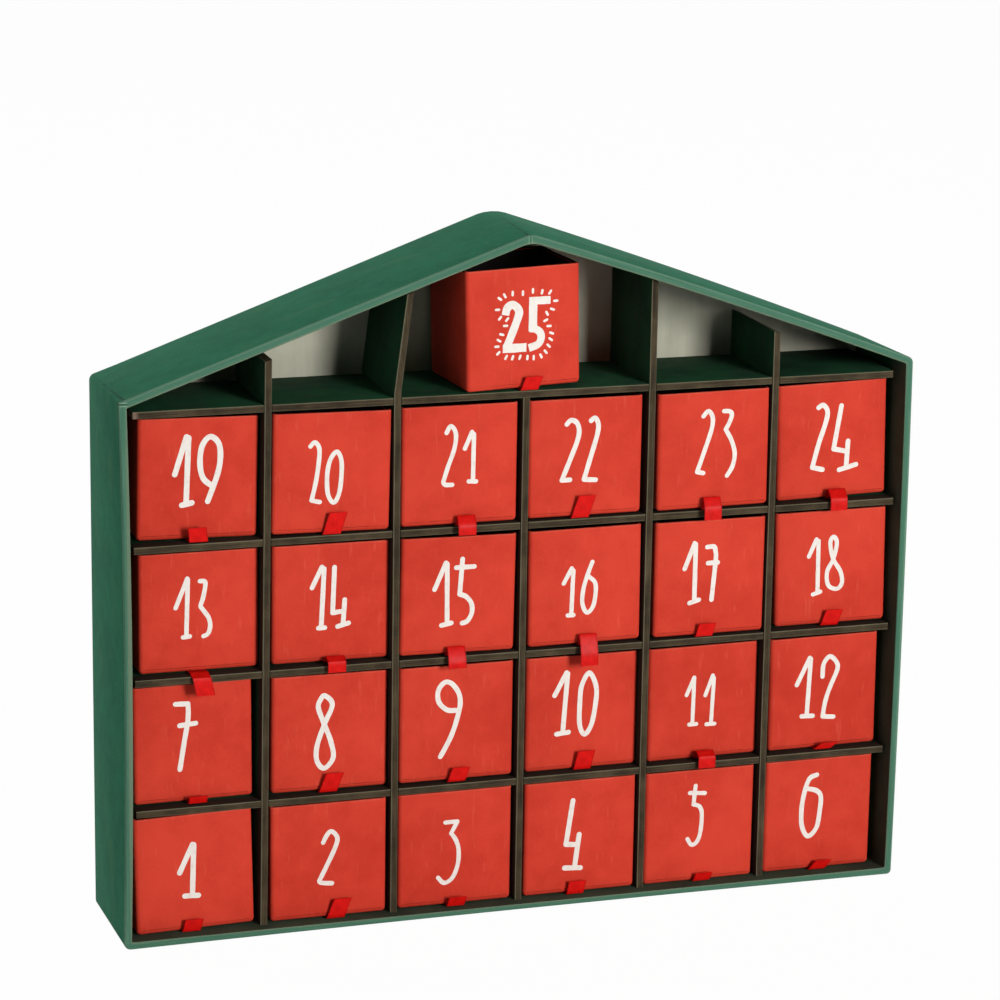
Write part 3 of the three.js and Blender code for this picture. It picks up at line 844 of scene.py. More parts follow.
@dataclass
class CaseShell:
    """One long board, scored and folded into floor, walls and roof, and covered with paper."""

    roof: RoofForm
    paper: bpy.types.Material
    lining: bpy.types.Material
    turned: bpy.types.Material
    fold_radius: float = 1.8
    foot_radius: float = 2.6
    ridge_radius: float = 6.0
    inner_fold_radius: float = 0.5
    inner_ridge_radius: float = 3.0
    fold_steps: int = 4
    slope_cuts: int = 15
    edge_round: float = 0.55
    edge_steps: int = 3
    front_fold_share: float = 0.35
    front_fold_depth: float = 2.1
    wall_cuts: int = 9
    seam_reach: float = 3.9
    turn_in: float = 13.0
    lining_inset: float = 0.05
    lining_recess: float = 0.15
    skin_depthwise: float = 0.3
    rim_depthwise: float = 0.5
    left_wall_bow: float = 1.3
    right_wall_bow: float = 0.5
    floor_bow: float = 0.7
    smooth_below: float = 40.0

    def _fold_strip(self, mesh: BMesh) -> None:
        """Adds the house-shaped band from front to back, with its folds rounded."""
        front = -self.roof.half_depth
        outline = house_face(mesh, self.roof.house(0.0), front, self.slope_cuts, self.wall_cuts)
        bmesh.ops.inset_region(
            mesh, faces=[outline], thickness=self.roof.wall, use_even_offset=True, use_boundary=True
        )
        bmesh.ops.delete(mesh, geom=[outline], context="FACES_ONLY")
        grow(mesh, mesh.faces, (0, 2 * self.roof.half_depth, 0))
        bmesh.ops.recalc_face_normals(mesh, faces=mesh.faces)
        outer, inner = self.fold_radius, self.inner_fold_radius
        for inset, radii in (
            (0.0, (self.foot_radius, outer, outer, self.ridge_radius, outer)),
            (self.roof.wall, (inner, inner, inner, self.inner_ridge_radius, inner)),
        ):
            for (x, z), radius in zip(self.roof.house(inset), radii):
                fold = edges_where(mesh, lambda edge: runs_along_depth(edge, x, z))
                bevel_edges(mesh, fold, radius, self.fold_steps)
        for corner in self.roof.house(self.roof.wall / 2):
            seams = edges_where(mesh, lambda edge: self._splits_rim(edge, corner))
            bmesh.ops.dissolve_edges(mesh, edges=seams, use_verts=False)

    def _splits_rim(self, edge: BMEdge, corner: Point) -> bool:
        """Whether an edge only parts two faces of a rim, near one of the outline's corners."""
        middle = (edge.verts[0].co + edge.verts[1].co) / 2
        flat = len(edge.link_faces) == 2 and all(looks_along(face, 1) for face in edge.link_faces)
        return flat and math.hypot(middle.x - corner[0], middle.z - corner[1]) < self.seam_reach

    def _sharpen_front(self, mesh: BMesh) -> None:
        """Draws the left eave's fold and the ridge's to a tighter bend at the front."""
        house = self.roof.house(0.0)
        for (x, z), radius in ((house[4], self.fold_radius), (house[3], self.ridge_radius)):
            for vert in mesh.verts:
                away = Vector((vert.co.x - x, vert.co.z - z))
                outside = self.roof.straight_top(vert.co.x) - vert.co.z < self.front_fold_depth
                in_front = abs(vert.co.y + self.roof.half_depth) < TOUCH
                if outside and in_front and away.length < radius + MATCH:
                    vert.co.x = x + away.x * self.front_fold_share
                    vert.co.z = z + away.y * self.front_fold_share

    def _warp(self, mesh: BMesh) -> None:
        """Bows and warps the roof, and bows the front edges of the walls and of the floor's underside."""
        for vert in mesh.verts:
            x, y, z = vert.co
            to_front = (self.roof.half_depth - y) / (2 * self.roof.half_depth)
            up, across = min(1.0, z / self.roof.eave), 0.5 + x / (2 * self.roof.half_width)
            if abs(x) > self.roof.half_width - self.roof.wall - MATCH:
                bow = self.left_wall_bow if x < 0 else self.right_wall_bow
                vert.co.x += bow * 4 * up * (1 - up) * to_front
                vert.co.x -= self.roof.left_rear_flare * (1 - to_front) if x < 0 else 0.0
            if z < self.roof.wall / 2:
                vert.co.z += self.floor_bow * 4 * across * (1 - across) * to_front
            if z > self.roof.eave / 2:
                vert.co.z += self.roof.shift(x, y)

    def _round_rims(self, mesh: BMesh) -> None:
        """Softens the long edges of the front and rear rims."""
        one_on_rim = [False, True]
        rims = edges_where(
            mesh, lambda edge: sorted(looks_along(face, 1) for face in edge.link_faces) == one_on_rim
        )
        bevel_edges(mesh, rims, self.edge_round, self.edge_steps)

    def _line(self, mesh: BMesh) -> None:
        """Parts the inside at the turned-in paper's edge, and sinks the lining behind it. The turned-in strip
        under the roof takes the darker lining as painted shade.
        """
        edge_at = -self.roof.half_depth + self.turn_in
        cut(mesh, filter(self._faces_in, mesh.faces), (0, edge_at, 0), (0, 1, 0))
        inner = filter(self._faces_in, mesh.faces)
        lined = [face for face in inner if face.calc_center_median().y > edge_at]
        bmesh.ops.inset_region(
            mesh, faces=lined, thickness=self.lining_inset, depth=-self.lining_recess, use_even_offset=True,
            use_boundary=True,
        )
        for face in lined:
            face.material_index = CaseFace.LINING.value
        for face in filter(self._faces_in, mesh.faces):
            centre = face.calc_center_median()
            if centre.y < edge_at:
                # Painted shade: above the eaves the turned-in strip faces down, so it takes the darker lining
                # instead of the turned paper.
                under_eaves = centre.z < self.roof.eave - self.roof.wall * 2
                face.material_index = (CaseFace.TURNED if under_eaves else CaseFace.LINING).value

    def _faces_in(self, face: BMFace) -> bool:
        """Whether a face is on the inside skin."""
        centre = face.calc_center_median()
        middle = Vector((0, centre.y, self.roof.eave / 2))
        return not looks_along(face, 1, self.skin_depthwise) and face.normal.dot(middle - centre) > 0

    def _along(self, x: float, z: float) -> float:
        """How far a point is from the ridge along the folded strip."""
        half, eave = self.roof.half_width, self.roof.eave
        clear_of_wall = abs(x) < half - self.roof.wall - TOUCH
        if clear_of_wall and z > eave / 2:
            return abs(x)
        return half + eave + half - abs(x) if clear_of_wall else half + eave - z

    def _on_strip(self, face: BMFace, at: Vector) -> Point:
        """Where a point of a face is on the folded strip.

        Args:
            face: The face.
            at: The point.

        Returns:
            How far along the strip it is from the ridge, and how deep in the board on a rim, or else its
            place from front to back.
        """
        side = 1 if face.calc_center_median().x > 0 else -1
        under_roof = self.roof.straight_top(at.x) + self.roof.shift(at.x, at.y) - at.z
        deep = min(self.roof.half_width - abs(at.x), at.z, under_roof)
        return side * self._along(at.x, at.z), deep if looks_along(face, 1, self.rim_depthwise) else at.y

    def build(self) -> None:
        """Builds the case."""
        mesh = bmesh.new()
        self._fold_strip(mesh)
        self._sharpen_front(mesh)
        self._round_rims(mesh)
        self._warp(mesh)
        self._line(mesh)
        lay_flat(mesh, "strip", self._on_strip)
        finishes = (self.paper, self.lining, self.turned)
        mount = Mount("case_shell", "case", "case_paper", finishes, ("case_walls",), self.smooth_below)
        mount.place(mesh)


@dataclass
class BackBoard:
    """The pale back, which fits inside the folded case flush with its rear edges."""

    roof: RoofForm
    lining: bpy.types.Material
    paper: bpy.types.Material
    thickness: float = 2.0
    seat_gap: float = -0.2
    ridge_radius: float = 2.6
    ridge_steps: int = 4
    slope_cuts: int = 15
    edge_round: float = 0.25
    edge_steps: int = 2

    def build(self) -> None:
        """Builds the back board."""
        mesh = bmesh.new()
        front = self.roof.half_depth - self.thickness
        house = self.roof.house(self.roof.wall + self.seat_gap)
        house_face(mesh, house, front, self.slope_cuts)
        grow(mesh, mesh.faces, (0, self.thickness, 0))
        bmesh.ops.recalc_face_normals(mesh, faces=mesh.faces)
        ridge = edges_where(mesh, lambda edge: runs_along_depth(edge, *house[3]))
        bevel_edges(mesh, ridge, self.ridge_radius, self.ridge_steps)
        for vert in mesh.verts:
            if vert.co.z > self.roof.eave / 2:
                vert.co.z += self.roof.shift(vert.co.x, front)
            if vert.co.x < self.roof.wall * 2 - self.roof.half_width:
                vert.co.x -= self.roof.left_rear_flare
        bevel_edges(mesh, sharp_edges(mesh), self.edge_round, self.edge_steps)
        lay_flat(mesh, "strip", lambda face, at: (at.x, at.z))
        for face in mesh.faces:
            face.material_index = int(face.normal.y >= LOOKS_ALONG)
        finishes = (self.lining, self.paper)
        Mount("back_board", "case", "back_lining", finishes, ("back_panel",)).place(mesh)


# ---------------------------------------------------------------- the grid


class BoardFace(Enum):
    """The faces of a grid board."""

    PAPER = 0
    RAW = 1


@dataclass
class SlottedGrid:
    """Boards with slots to half their depth, which hook into each other to make the cells."""

    roof: RoofForm
    paper: bpy.types.Material
    raw_across: bpy.types.Material
    raw_upright: bpy.types.Material
    board: float = 2.8
    columns: int = 6
    rows: int = 4
    cell_width: float = 48.8
    cell_height: float = 49.3
    bottom_shortfall: float = 1.0
    front: float = -21.5
    back: float = 24.0
    shift: float = 0.3
    slot_play: float = 0.2
    shelf_left: float = -153.9
    shelf_right: float = 156.0
    attic_right: float = 153.6
    first_lean: float = 1.8
    second_tip_lean: float = 5.0
    lean_start: float = 2.0
    roof_gaps: tuple[float, ...] = (5.2, 1.8, 0.0, 0.6, 5.2)
    edge_round: float = 0.18
    edge_steps: int = 2

    @property
    def lap(self) -> float:
        """Where the slots of crossing boards meet."""
        return (self.front + self.back) / 2

    @property
    def middle(self) -> int:
        """The upright that stops under the attic floor."""
        return (self.columns - 2) // 2

    def shelf_under(self, row: int) -> float:
        """The underside of a row's upper shelf."""
        cell = self.cell_height
        return self.roof.wall + cell - self.bottom_shortfall + row * (cell + self.board)

    @property
    def attic_top(self) -> float:
        """The top of the attic floor."""
        return self.shelf_under(self.rows - 1) + self.board

    def roof_over(self, x: float) -> float:
        """The lowest underside of the roof over the grid's depth."""
        return min(self.roof.underside(x, self.front), self.roof.underside(x, self.back))

    def upright_at(self, index: int, height: float) -> float:
        """Where an upright's middle line is.

        Args:
            index: The upright, from the left.
            height: The height on it.

        Returns:
            The place across the case.
        """
        foot = self.shift + (index - self.middle) * (self.cell_width + self.board)
        if index == 0:
            share = (height - self.roof.wall) / (self.attic_top - self.roof.wall)
            return foot + self.first_lean * (share - 0.5)
        if index == 1:
            start = self.attic_top + self.lean_start
            share = (height - start) / (self.roof_over(foot) - start)
            return foot + self.second_tip_lean * max(0.0, share)
        return foot

    def crossings(self, index: int) -> list[int]:
        """The rows whose shelves an upright crosses."""
        return [row for row in range(self.rows) if not (index == self.middle and row == self.rows - 1)]

    def _slotted(self, corners: Sequence[Sequence[float]], slots: Sequence[Span], axis: int) -> BMesh:
        """Cuts a flat board out.

        Args:
            corners: The board's corners.
            slots: Each slot's two sides along the axis.
            axis: The axis that the slots follow each other on. A shelf's are open to the front, an upright's
                to the rear.

        Returns:
            The mesh, which has no thickness yet.
        """
        opens_front = axis == 0
        depth_at = self.lap + (self.slot_play if opens_front else -self.slot_play) / 2
        mesh = bmesh.new()
        mesh.faces.new([mesh.verts.new(corner) for corner in corners])
        cut(mesh, mesh.faces, (0, depth_at, 0), (0, 1, 0))
        way = Vector([float(k == axis) for k in range(3)])
        for side in (side for sides in slots for side in sides):
            cut(mesh, mesh.faces, way * side, way)
        gone = []
        for face in mesh.faces:
            centre = face.calc_center_median()
            in_slot = any(low < centre[axis] < high for low, high in slots)
            if in_slot and (centre.y < depth_at) == opens_front:
                gone.append(face)
        bmesh.ops.delete(mesh, geom=gone, context="FACES")
        bmesh.ops.dissolve_limit(
            mesh, angle_limit=STRAIGHT_ANGLE, verts=mesh.verts, edges=mesh.edges,
            use_dissolve_boundaries=False,
        )
        return mesh

    def _dress(self, mesh: BMesh, flat_axis: int, middle_at: Callable[[float], float]) -> None:
        """Rounds the board's edges and gives its cut edges the raw finish.

        Args:
            mesh: The board's mesh.
            flat_axis: The axis that the board is thin on.
            middle_at: Where its middle plane is on that axis at a height.
        """
        bmesh.ops.recalc_face_normals(mesh, faces=mesh.faces)
        for face in mesh.faces:
            face.material_index = (BoardFace.PAPER if looks_along(face, flat_axis) else BoardFace.RAW).value
        bevel_edges(mesh, sharp_edges(mesh), self.edge_round, self.edge_steps)
        # The pattern's positive side faces the light, and the raw finish paints its skin there paler as a
        # highlight.
        towards_light = self.board * (1 if flat_axis == 2 else -1)
        lay_flat(mesh, "layers", lambda face, at: ((at[flat_axis] - middle_at(at.z)) / towards_light, at.y))

    def build_shelf(self, row: int) -> None:
        """Builds a shelf or the attic floor.

        Args:
            row: The row it lies on.
        """
        attic = row == self.rows - 1
        under = self.shelf_under(row)
        right = self.attic_right if attic else self.shelf_right
        middle = under + self.board / 2
        half = self.board / 2 + self.slot_play
        crossed = [k for k in range(self.columns - 1) if row in self.crossings(k)]
        corners = [
            (self.shelf_left, self.front, under), (right, self.front, under), (right, self.back, under),
            (self.shelf_left, self.back, under),
        ]
        slots = [(self.upright_at(k, middle) - half, self.upright_at(k, middle) + half) for k in crossed]
        mesh = self._slotted(corners, slots, 0)
        grow(mesh, mesh.faces, (0, 0, self.board))
        self._dress(mesh, 2, lambda height: middle)
        self._mount("attic_floor" if attic else f"shelf_{row + 1}", self.raw_across, mesh)

    def build_upright(self, index: int) -> None:
        """Builds an upright, cut to the roof or stopping under the attic floor.

        Args:
            index: The upright, from the left.
        """
        bend = self.attic_top + self.lean_start
        stops = index == self.middle
        gap = self.roof_gaps[index]
        tip = self.shelf_under(self.rows - 1) if stops else self.roof_over(self.upright_at(index, bend)) - gap
        foot = self.roof.wall
        corners = [(0, self.front, foot), (0, self.back, foot), (0, self.back, tip), (0, self.front, tip)]
        unders = [self.shelf_under(row) for row in self.crossings(index)]
        slots = [(under - self.slot_play, under + self.board + self.slot_play) for under in unders]
        mesh = self._slotted(corners, slots, 2)
        grow(mesh, mesh.faces, (self.board, 0, 0))
        bmesh.ops.translate(mesh, verts=mesh.verts, vec=(-self.board / 2, 0, 0))
        if index == 1:
            cut(mesh, mesh.faces, (0, 0, bend), (0, 0, 1))
        for vert in mesh.verts:
            at_tip = vert.co.z > tip - TOUCH
            vert.co.x += self.upright_at(index, vert.co.z)
            if at_tip and not stops:
                vert.co.z = self.roof_over(vert.co.x) - gap
        self._dress(mesh, 0, lambda height: self.upright_at(index, height))
        self._mount(f"upright_{index + 1}", self.raw_upright, mesh)

    def _mount(self, name: str, raw: bpy.types.Material, mesh: BMesh) -> None:
        """Puts a board in the place of its solid, with its raw finish."""
        Mount(f"{name}_board", "case", "grid_board", (self.paper, raw), (name,)).place(mesh)

    def build(self) -> None:
        """Builds all the boards."""
        for index in range(self.columns - 1):
            self.build_upright(index)
        for row in range(self.rows):
            self.build_shelf(row)


# ---------------------------------------------------------------- the drawers


@dataclass(frozen=True)
class DrawerLie:
    """How a drawer lies in its cell: its shifts and its turns in degrees.

    The tray also slips, lifts and tilts by itself, which its number and ribbon don't follow.
    """

    across: float
    inward: float
    turn: float = 0.0
    slip: float = 0.0
    lift: float = 0.0
    tilt: float = 0.0


DRAWER_LIES = (
    DrawerLie(-0.6, 1.3, slip=1.1, tilt=-1.4),
    DrawerLie(-0.9, 0.4, slip=0.7),
    DrawerLie(-0.5, 1.0),
    DrawerLie(-0.3, 0.8, slip=0.3),
    DrawerLie(-0.3, 1.8, lift=-0.5),
    DrawerLie(-1.9, 1.8, lift=-0.3),
    DrawerLie(0.6, 5.0, tilt=-0.5),
    DrawerLie(0.5, 3.8, slip=0.1, tilt=0.3),
    DrawerLie(0.1, 2.7),
    DrawerLie(0.8, 4.2, slip=0.1, lift=-0.4),
    DrawerLie(0.4, 4.2, slip=0.5, lift=-0.4, tilt=-0.4),
    DrawerLie(-0.5, 4.0, slip=0.2, lift=-0.3, tilt=-0.5),
    DrawerLie(2.6, 4.5),
    DrawerLie(0.5, 3.8, slip=0.1, tilt=0.3),
    DrawerLie(-0.2, 1.5, slip=-0.3, tilt=0.7),
    DrawerLie(0.0, 1.5, slip=0.4, tilt=-0.4),
    DrawerLie(0.3, 1.0, slip=0.5),
    DrawerLie(-0.2, 3.2, -3.0, slip=0.9, tilt=-1.1),
    DrawerLie(2.7, 4.5, slip=-0.9, tilt=1.1),
    DrawerLie(0.0, 0.8, slip=-0.5, tilt=0.9),
    DrawerLie(-0.7, 0.8, slip=0.2),
    DrawerLie(-0.9, 1.0),
    DrawerLie(0.2, 0.4, slip=0.5, tilt=-0.5),
    DrawerLie(-1.0, 4.5, slip=1.0, tilt=-1.3),
    DrawerLie(-1.5, 0.5, 3.3, 0.6, 0.4, -1.5),
)


class DrawerFace(Enum):
    """The faces of a drawer."""

    PAPER = 0
    SHADED = 1


@dataclass
class DrawerBank:
    """The open-topped trays, each in its own place."""

    grid: SlottedGrid
    paper: bpy.types.Material
    inside_shade: bpy.types.Material
    width: float = 46.8
    depth: float = 39.5
    height: float = 47.0
    board: float = 1.5
    bottom_radius: float = 1.7
    front_round: float = 1.9
    round_steps: int = 4
    edge_round: float = 0.35
    edge_steps: int = 3
    under_gap: float = 0.6
    turn_in: float = 0.6
    lies: tuple[DrawerLie, ...] = DRAWER_LIES

    def cell(self, number: int) -> Point:
        """A drawer's cell.

        Args:
            number: The drawer's number.

        Returns:
            The cell's middle across the case, and the top of what the drawer stands on.
        """
        grid = self.grid
        row, column = divmod(number - 1, grid.columns)
        floor = grid.roof.wall if row == 0 else grid.shelf_under(row - 1) + grid.board
        if row == grid.rows:
            return grid.shift, floor
        height = floor + grid.cell_height / 2
        inside = grid.roof.half_width - grid.roof.wall
        left = -inside if column == 0 else grid.upright_at(column - 1, height) + grid.board / 2
        right = inside if column == grid.columns - 1 else grid.upright_at(column, height) - grid.board / 2
        return (left + right) / 2, floor

    def place_of(self, number: int) -> Matrix:
        """Where the middle of a drawer's bottom front edge goes, and how its number and ribbon turn."""
        lie = self.lies[number - 1]
        middle, floor = self.cell(number)
        spot = Vector((middle + lie.across, self.grid.front + lie.inward, floor + self.under_gap))
        return Matrix.Translation(spot) @ Matrix.Rotation(math.radians(lie.turn), 4, "Z")

    def tray_place(self, number: int) -> Matrix:
        """Where a tray itself goes: its drawer's place with its own slip, lift and tilt."""
        lie = self.lies[number - 1]
        own = Matrix.Translation((lie.slip, 0, lie.lift)) @ Matrix.Rotation(math.radians(lie.tilt), 4, "Y")
        return self.place_of(number) @ own

    def _block(self) -> BMesh:
        """A solid block with its sides rounded below, and its front rounded all but above."""
        mesh = bmesh.new()
        bmesh.ops.create_cube(mesh, size=1.0)
        bmesh.ops.scale(mesh, vec=(self.width, self.depth, self.height), verts=mesh.verts)
        bmesh.ops.translate(mesh, vec=(0, self.depth / 2, self.height / 2), verts=mesh.verts)
        bevel_edges(mesh, edges_where(mesh, self._is_low_side), self.bottom_radius, self.round_steps)
        bevel_edges(mesh, edges_where(mesh, self._is_on_front), self.front_round, self.round_steps)
        return mesh

    def _hollow(self, mesh: BMesh) -> None:
        """Hollows the block out from above."""
        top = max(mesh.faces, key=lambda face: face.calc_center_median().z)
        bmesh.ops.inset_region(mesh, faces=[top], thickness=self.board, use_even_offset=True)
        grow(mesh, [top], (0, 0, self.board - self.height))
        if top.is_valid:
            bmesh.ops.delete(mesh, geom=[top], context="FACES_ONLY")
        bmesh.ops.recalc_face_normals(mesh, faces=mesh.faces)

    def _tray(self) -> BMesh:
        """A tray about its own origin, papered outside, and unpapered inside below the turned-in paper and on
        the rims behind its front, where it is painted near black as shade.
        """
        mesh = self._block()
        self._hollow(mesh)
        paper_ends = self.height - self.turn_in
        cut(mesh, filter(self._faces_in, mesh.faces), (0, 0, paper_ends), (0, 0, 1))
        upward = [face for face in mesh.faces if face.normal.z > LOOKS_ALONG]
        cut(mesh, upward, (0, self.board + self.edge_round * 2, 0), (0, 1, 0))
        for face in filter(self._faces_in, mesh.faces):
            if face.calc_center_median().z < paper_ends:
                face.material_index = DrawerFace.SHADED.value
        bevel_edges(mesh, sharp_edges(mesh), self.edge_round, self.edge_steps)
        # Painted shade: the rims behind the front take the near-black inside finish.
        for face in mesh.faces:
            centre = face.calc_center_median()
            if centre.y > self.board + self.edge_round and centre.z > self.height - self.edge_round:
                face.material_index = DrawerFace.SHADED.value
        lay_flat(mesh, "panel", self._panel)
        return mesh

    def _is_low_side(self, edge: BMEdge) -> bool:
        """Whether an edge is one of the block's two bottom edges from front to back."""
        low = all(vert.co.z < TOUCH for vert in edge.verts)
        return low and abs(edge.verts[0].co.x - edge.verts[1].co.x) < TOUCH

    def _is_on_front(self, edge: BMEdge) -> bool:
        """Whether an edge is on the front's outline, its top edge left out."""
        low = min(vert.co.z for vert in edge.verts)
        return all(abs(vert.co.y) < TOUCH for vert in edge.verts) and low < self.height - TOUCH

    def _faces_in(self, face: BMFace) -> bool:
        """Whether a face is on the inside of a tray."""
        centre = face.calc_center_median()
        least = self.board - TOUCH
        across = abs(centre.x) < self.width / 2 - least
        return across and least < centre.y < self.depth - least and least < centre.z < self.height - TOUCH

    def _panel(self, face: BMFace, at: Vector) -> Point:
        """A point's place on its side of the tray, from -1 to 1 both ways."""
        inward = 2 * at.y / self.depth - 1
        across = inward if looks_along(face, 0) else 2 * at.x / self.width
        return across, inward if looks_along(face, 2) else 2 * at.z / self.height - 1

    def build(self) -> None:
        """Builds all the drawers."""
        for number in range(1, len(self.lies) + 1):
            name = f"drawer_{number:02d}"
            mount = Mount(f"{name}_tray", name, "drawer_paper", (self.paper, self.inside_shade), (name,))
            mount.place(self._tray(), self.tray_place(number))


# ---------------------------------------------------------------- the ribbons


@dataclass(frozen=True)
class StandingTab:
    """A ribbon end that turns up in front of its drawer."""

    offset: float
    foot: float
    tip: float
    rise: float
    lean: float = 0.0

    def side_view(self, face_gap: float, flat: float) -> list[Point]:
        """The free end's middle line, as distances out and up from the drawer's bottom front edge."""
        return [
            (face_gap / 2, flat),
            (self.foot - face_gap, flat),
            (self.foot, 0.15 * self.rise),
            ((self.foot + self.tip) / 2, 0.6 * self.rise),
            (self.tip, self.rise),
        ]

    @property
    def furthest(self) -> float:
        """The height at which the lean is complete."""
        return self.rise


@dataclass(frozen=True)
class ArchedTab:
    """A ribbon end that rises to a crest, comes down over a crease and hangs below its drawer."""

    offset: float
    crest: float
    reach: float
    crease: float
    drop: float
    lean: float = 0.0

    def side_view(self, face_gap: float, flat: float) -> list[Point]:
        """The free end's middle line, as distances out and up from the drawer's bottom front edge."""
        return [
            (face_gap / 2, flat),
            (1.0, 0.15 * self.crest),
            (1.3, 0.7 * self.crest),
            (0.45 * self.reach, self.crest),
            (0.8 * self.reach, (self.crest + self.crease) / 2),
            (self.reach, self.crease),
            (self.reach, -self.drop),
        ]

    @property
    def furthest(self) -> float:
        """The depth at which the lean is complete."""
        return self.drop


RIBBON_TABS = (
    StandingTab(-1.0, 1.3, 2.2, 4.9, 1.0),
    StandingTab(3.3, 1.2, 2.0, 7.8, 2.6),
    StandingTab(0.1, 1.8, 3.3, 4.0, 0.5),
    StandingTab(-1.7, 1.3, 2.1, 5.4, 0.8),
    StandingTab(1.0, 1.5, 2.4, 3.4, 0.8),
    StandingTab(-0.2, 1.5, 2.6, 3.8, 2.4),
    StandingTab(0.9, 2.6, 3.8, 2.9),
    StandingTab(-0.8, 1.5, 2.2, 7.4, 2.6),
    StandingTab(-0.2, 1.5, 2.4, 5.7, 1.6),
    StandingTab(0.2, 1.5, 2.3, 7.5, 1.5),
    ArchedTab(0.4, 3.6, 6.2, 1.5, 2.9),
    StandingTab(-0.6, 2.6, 4.0, 2.8, 2.6),
    ArchedTab(-0.7, 0.1, 6.4, -1.6, 8.2, 1.8),
    ArchedTab(1.2, 2.9, 6.0, 1.1, 2.9),
    ArchedTab(-1.4, 3.4, 4.6, -2.4, 4.8),
    ArchedTab(1.0, 4.5, 5.0, -3.4, 7.8),
    StandingTab(-1.8, 1.3, 2.2, 5.2, 1.0),
    StandingTab(0.2, 1.3, 2.1, 6.2, 1.8),
    StandingTab(-1.2, 3.9, 4.8, 5.6, -0.8),
    StandingTab(-0.3, 1.1, 1.9, 8.3, 2.3),
    ArchedTab(2.3, 3.9, 4.4, -0.3, 3.5),
    StandingTab(-2.2, 1.2, 2.0, 8.7, 2.6),
    ArchedTab(-0.7, 4.9, 4.2, 0.4, 4.0),
    ArchedTab(1.7, 4.1, 6.4, 0.3, 4.1),
    StandingTab(2.4, 1.2, 1.9, 5.0, 1.6),
)


@dataclass
class RibbonPulls:
    """Short satin pulls, glued flat under the drawers' floors and bent round in front of them."""

    bank: DrawerBank
    satin: bpy.types.Material
    width: float = 7.2
    thickness: float = 0.3
    glued: float = 12.0
    face_gap: float = 0.5
    steps: int = 9
    across_cells: int = 6
    tabs: tuple[StandingTab | ArchedTab, ...] = RIBBON_TABS
    under_floor: float = 0.02
    bend_reach: float = 1.0
    smooth_below: float = 60.0
    crushed_by: dict[int, str] = field(default_factory=lambda: {13: "drawer_07_slide", 16: "drawer_10_slide"})
    crush_height: float = 106.8
    crush_share: float = 0.35

    def _path(self, tab: StandingTab | ArchedTab) -> list[Vector]:
        """The ribbon's middle line from its glued end, as points in and up."""
        flat = -self.thickness / 2
        free = [Vector((-out, up)) for out, up in tab.side_view(self.face_gap, flat)]
        return [Vector((self.glued, flat)), *smooth_path(free, False, self.steps)]

    def _strip(self, tab: StandingTab | ArchedTab) -> BMesh:
        """Bends a flat strip along the path.

        Args:
            tab: The shape of its free end.

        Returns:
            The mesh about the drawer's origin.
        """
        path = self._path(tab)
        steps = ((after - before).length for before, after in zip(path, path[1:]))
        lengths = list(accumulate(steps, initial=0.0))
        mesh = bmesh.new()
        bmesh.ops.create_grid(mesh, x_segments=self.across_cells, y_segments=len(path) - 1, size=0.5)
        layer = mesh.loops.layers.uv.new("ribbon")
        for vert in mesh.verts:
            station = round((vert.co.y + 0.5) * (len(path) - 1))
            across = vert.co.x * self.width
            point = path[station]
            for loop in vert.link_loops:
                loop[layer].uv = (across, lengths[station])
            share = min(1.0, abs(point.y) / tab.furthest) if point.x < 0 else 0.0
            vert.co = (across + tab.offset + tab.lean * share, point.x, point.y)
        bmesh.ops.recalc_face_normals(mesh, faces=mesh.faces)
        bmesh.ops.solidify(mesh, geom=mesh.faces[:], thickness=self.thickness)
        top = max(vert.co.z for vert in mesh.verts if vert.co.y > self.bend_reach)
        bmesh.ops.translate(mesh, verts=mesh.verts, vec=(0, 0, -self.under_floor - top))
        return mesh

    def build(self) -> None:
        """Builds all the ribbons."""
        for number, tab in enumerate(self.tabs, 1):
            name = f"ribbon_{number:02d}"
            own_node = (name,) if number < len(self.tabs) else ()
            body = f"drawer_{number:02d}"
            mount = Mount(f"{name}_pull", body, "ribbon_satin", (self.satin,), own_node, self.smooth_below)
            pull = mount.place(self._strip(tab), self.bank.place_of(number))
            if number in self.crushed_by:
                anchor = (0, 0, self.crush_height * MM)
                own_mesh(pull)


# ---------------------------------------------------------------- the numbers


@dataclass(frozen=True)
class Stroke:
    """One stroke of the brush: its points across and up the drawer's front, and how it ends."""

    points: tuple[Point, ...]
    closed: bool = False
    width: float | None = None
    flat_ended: bool = False


def one(*lines: tuple[Point, Point]) -> tuple[Stroke, ...]:
    """The strokes of a figure 1: its flag, its stem and its foot."""
    return tuple(Stroke(line) for line in lines)


def square(width: float, *points: Point) -> Stroke:
    """A stroke of its own width that ends square."""
    return Stroke(points, width=width, flat_ended=True)


@dataclass(frozen=True)
class Figure:
    """A painted number: the brush's width and its strokes."""

    width: float
    strokes: tuple[Stroke, ...]


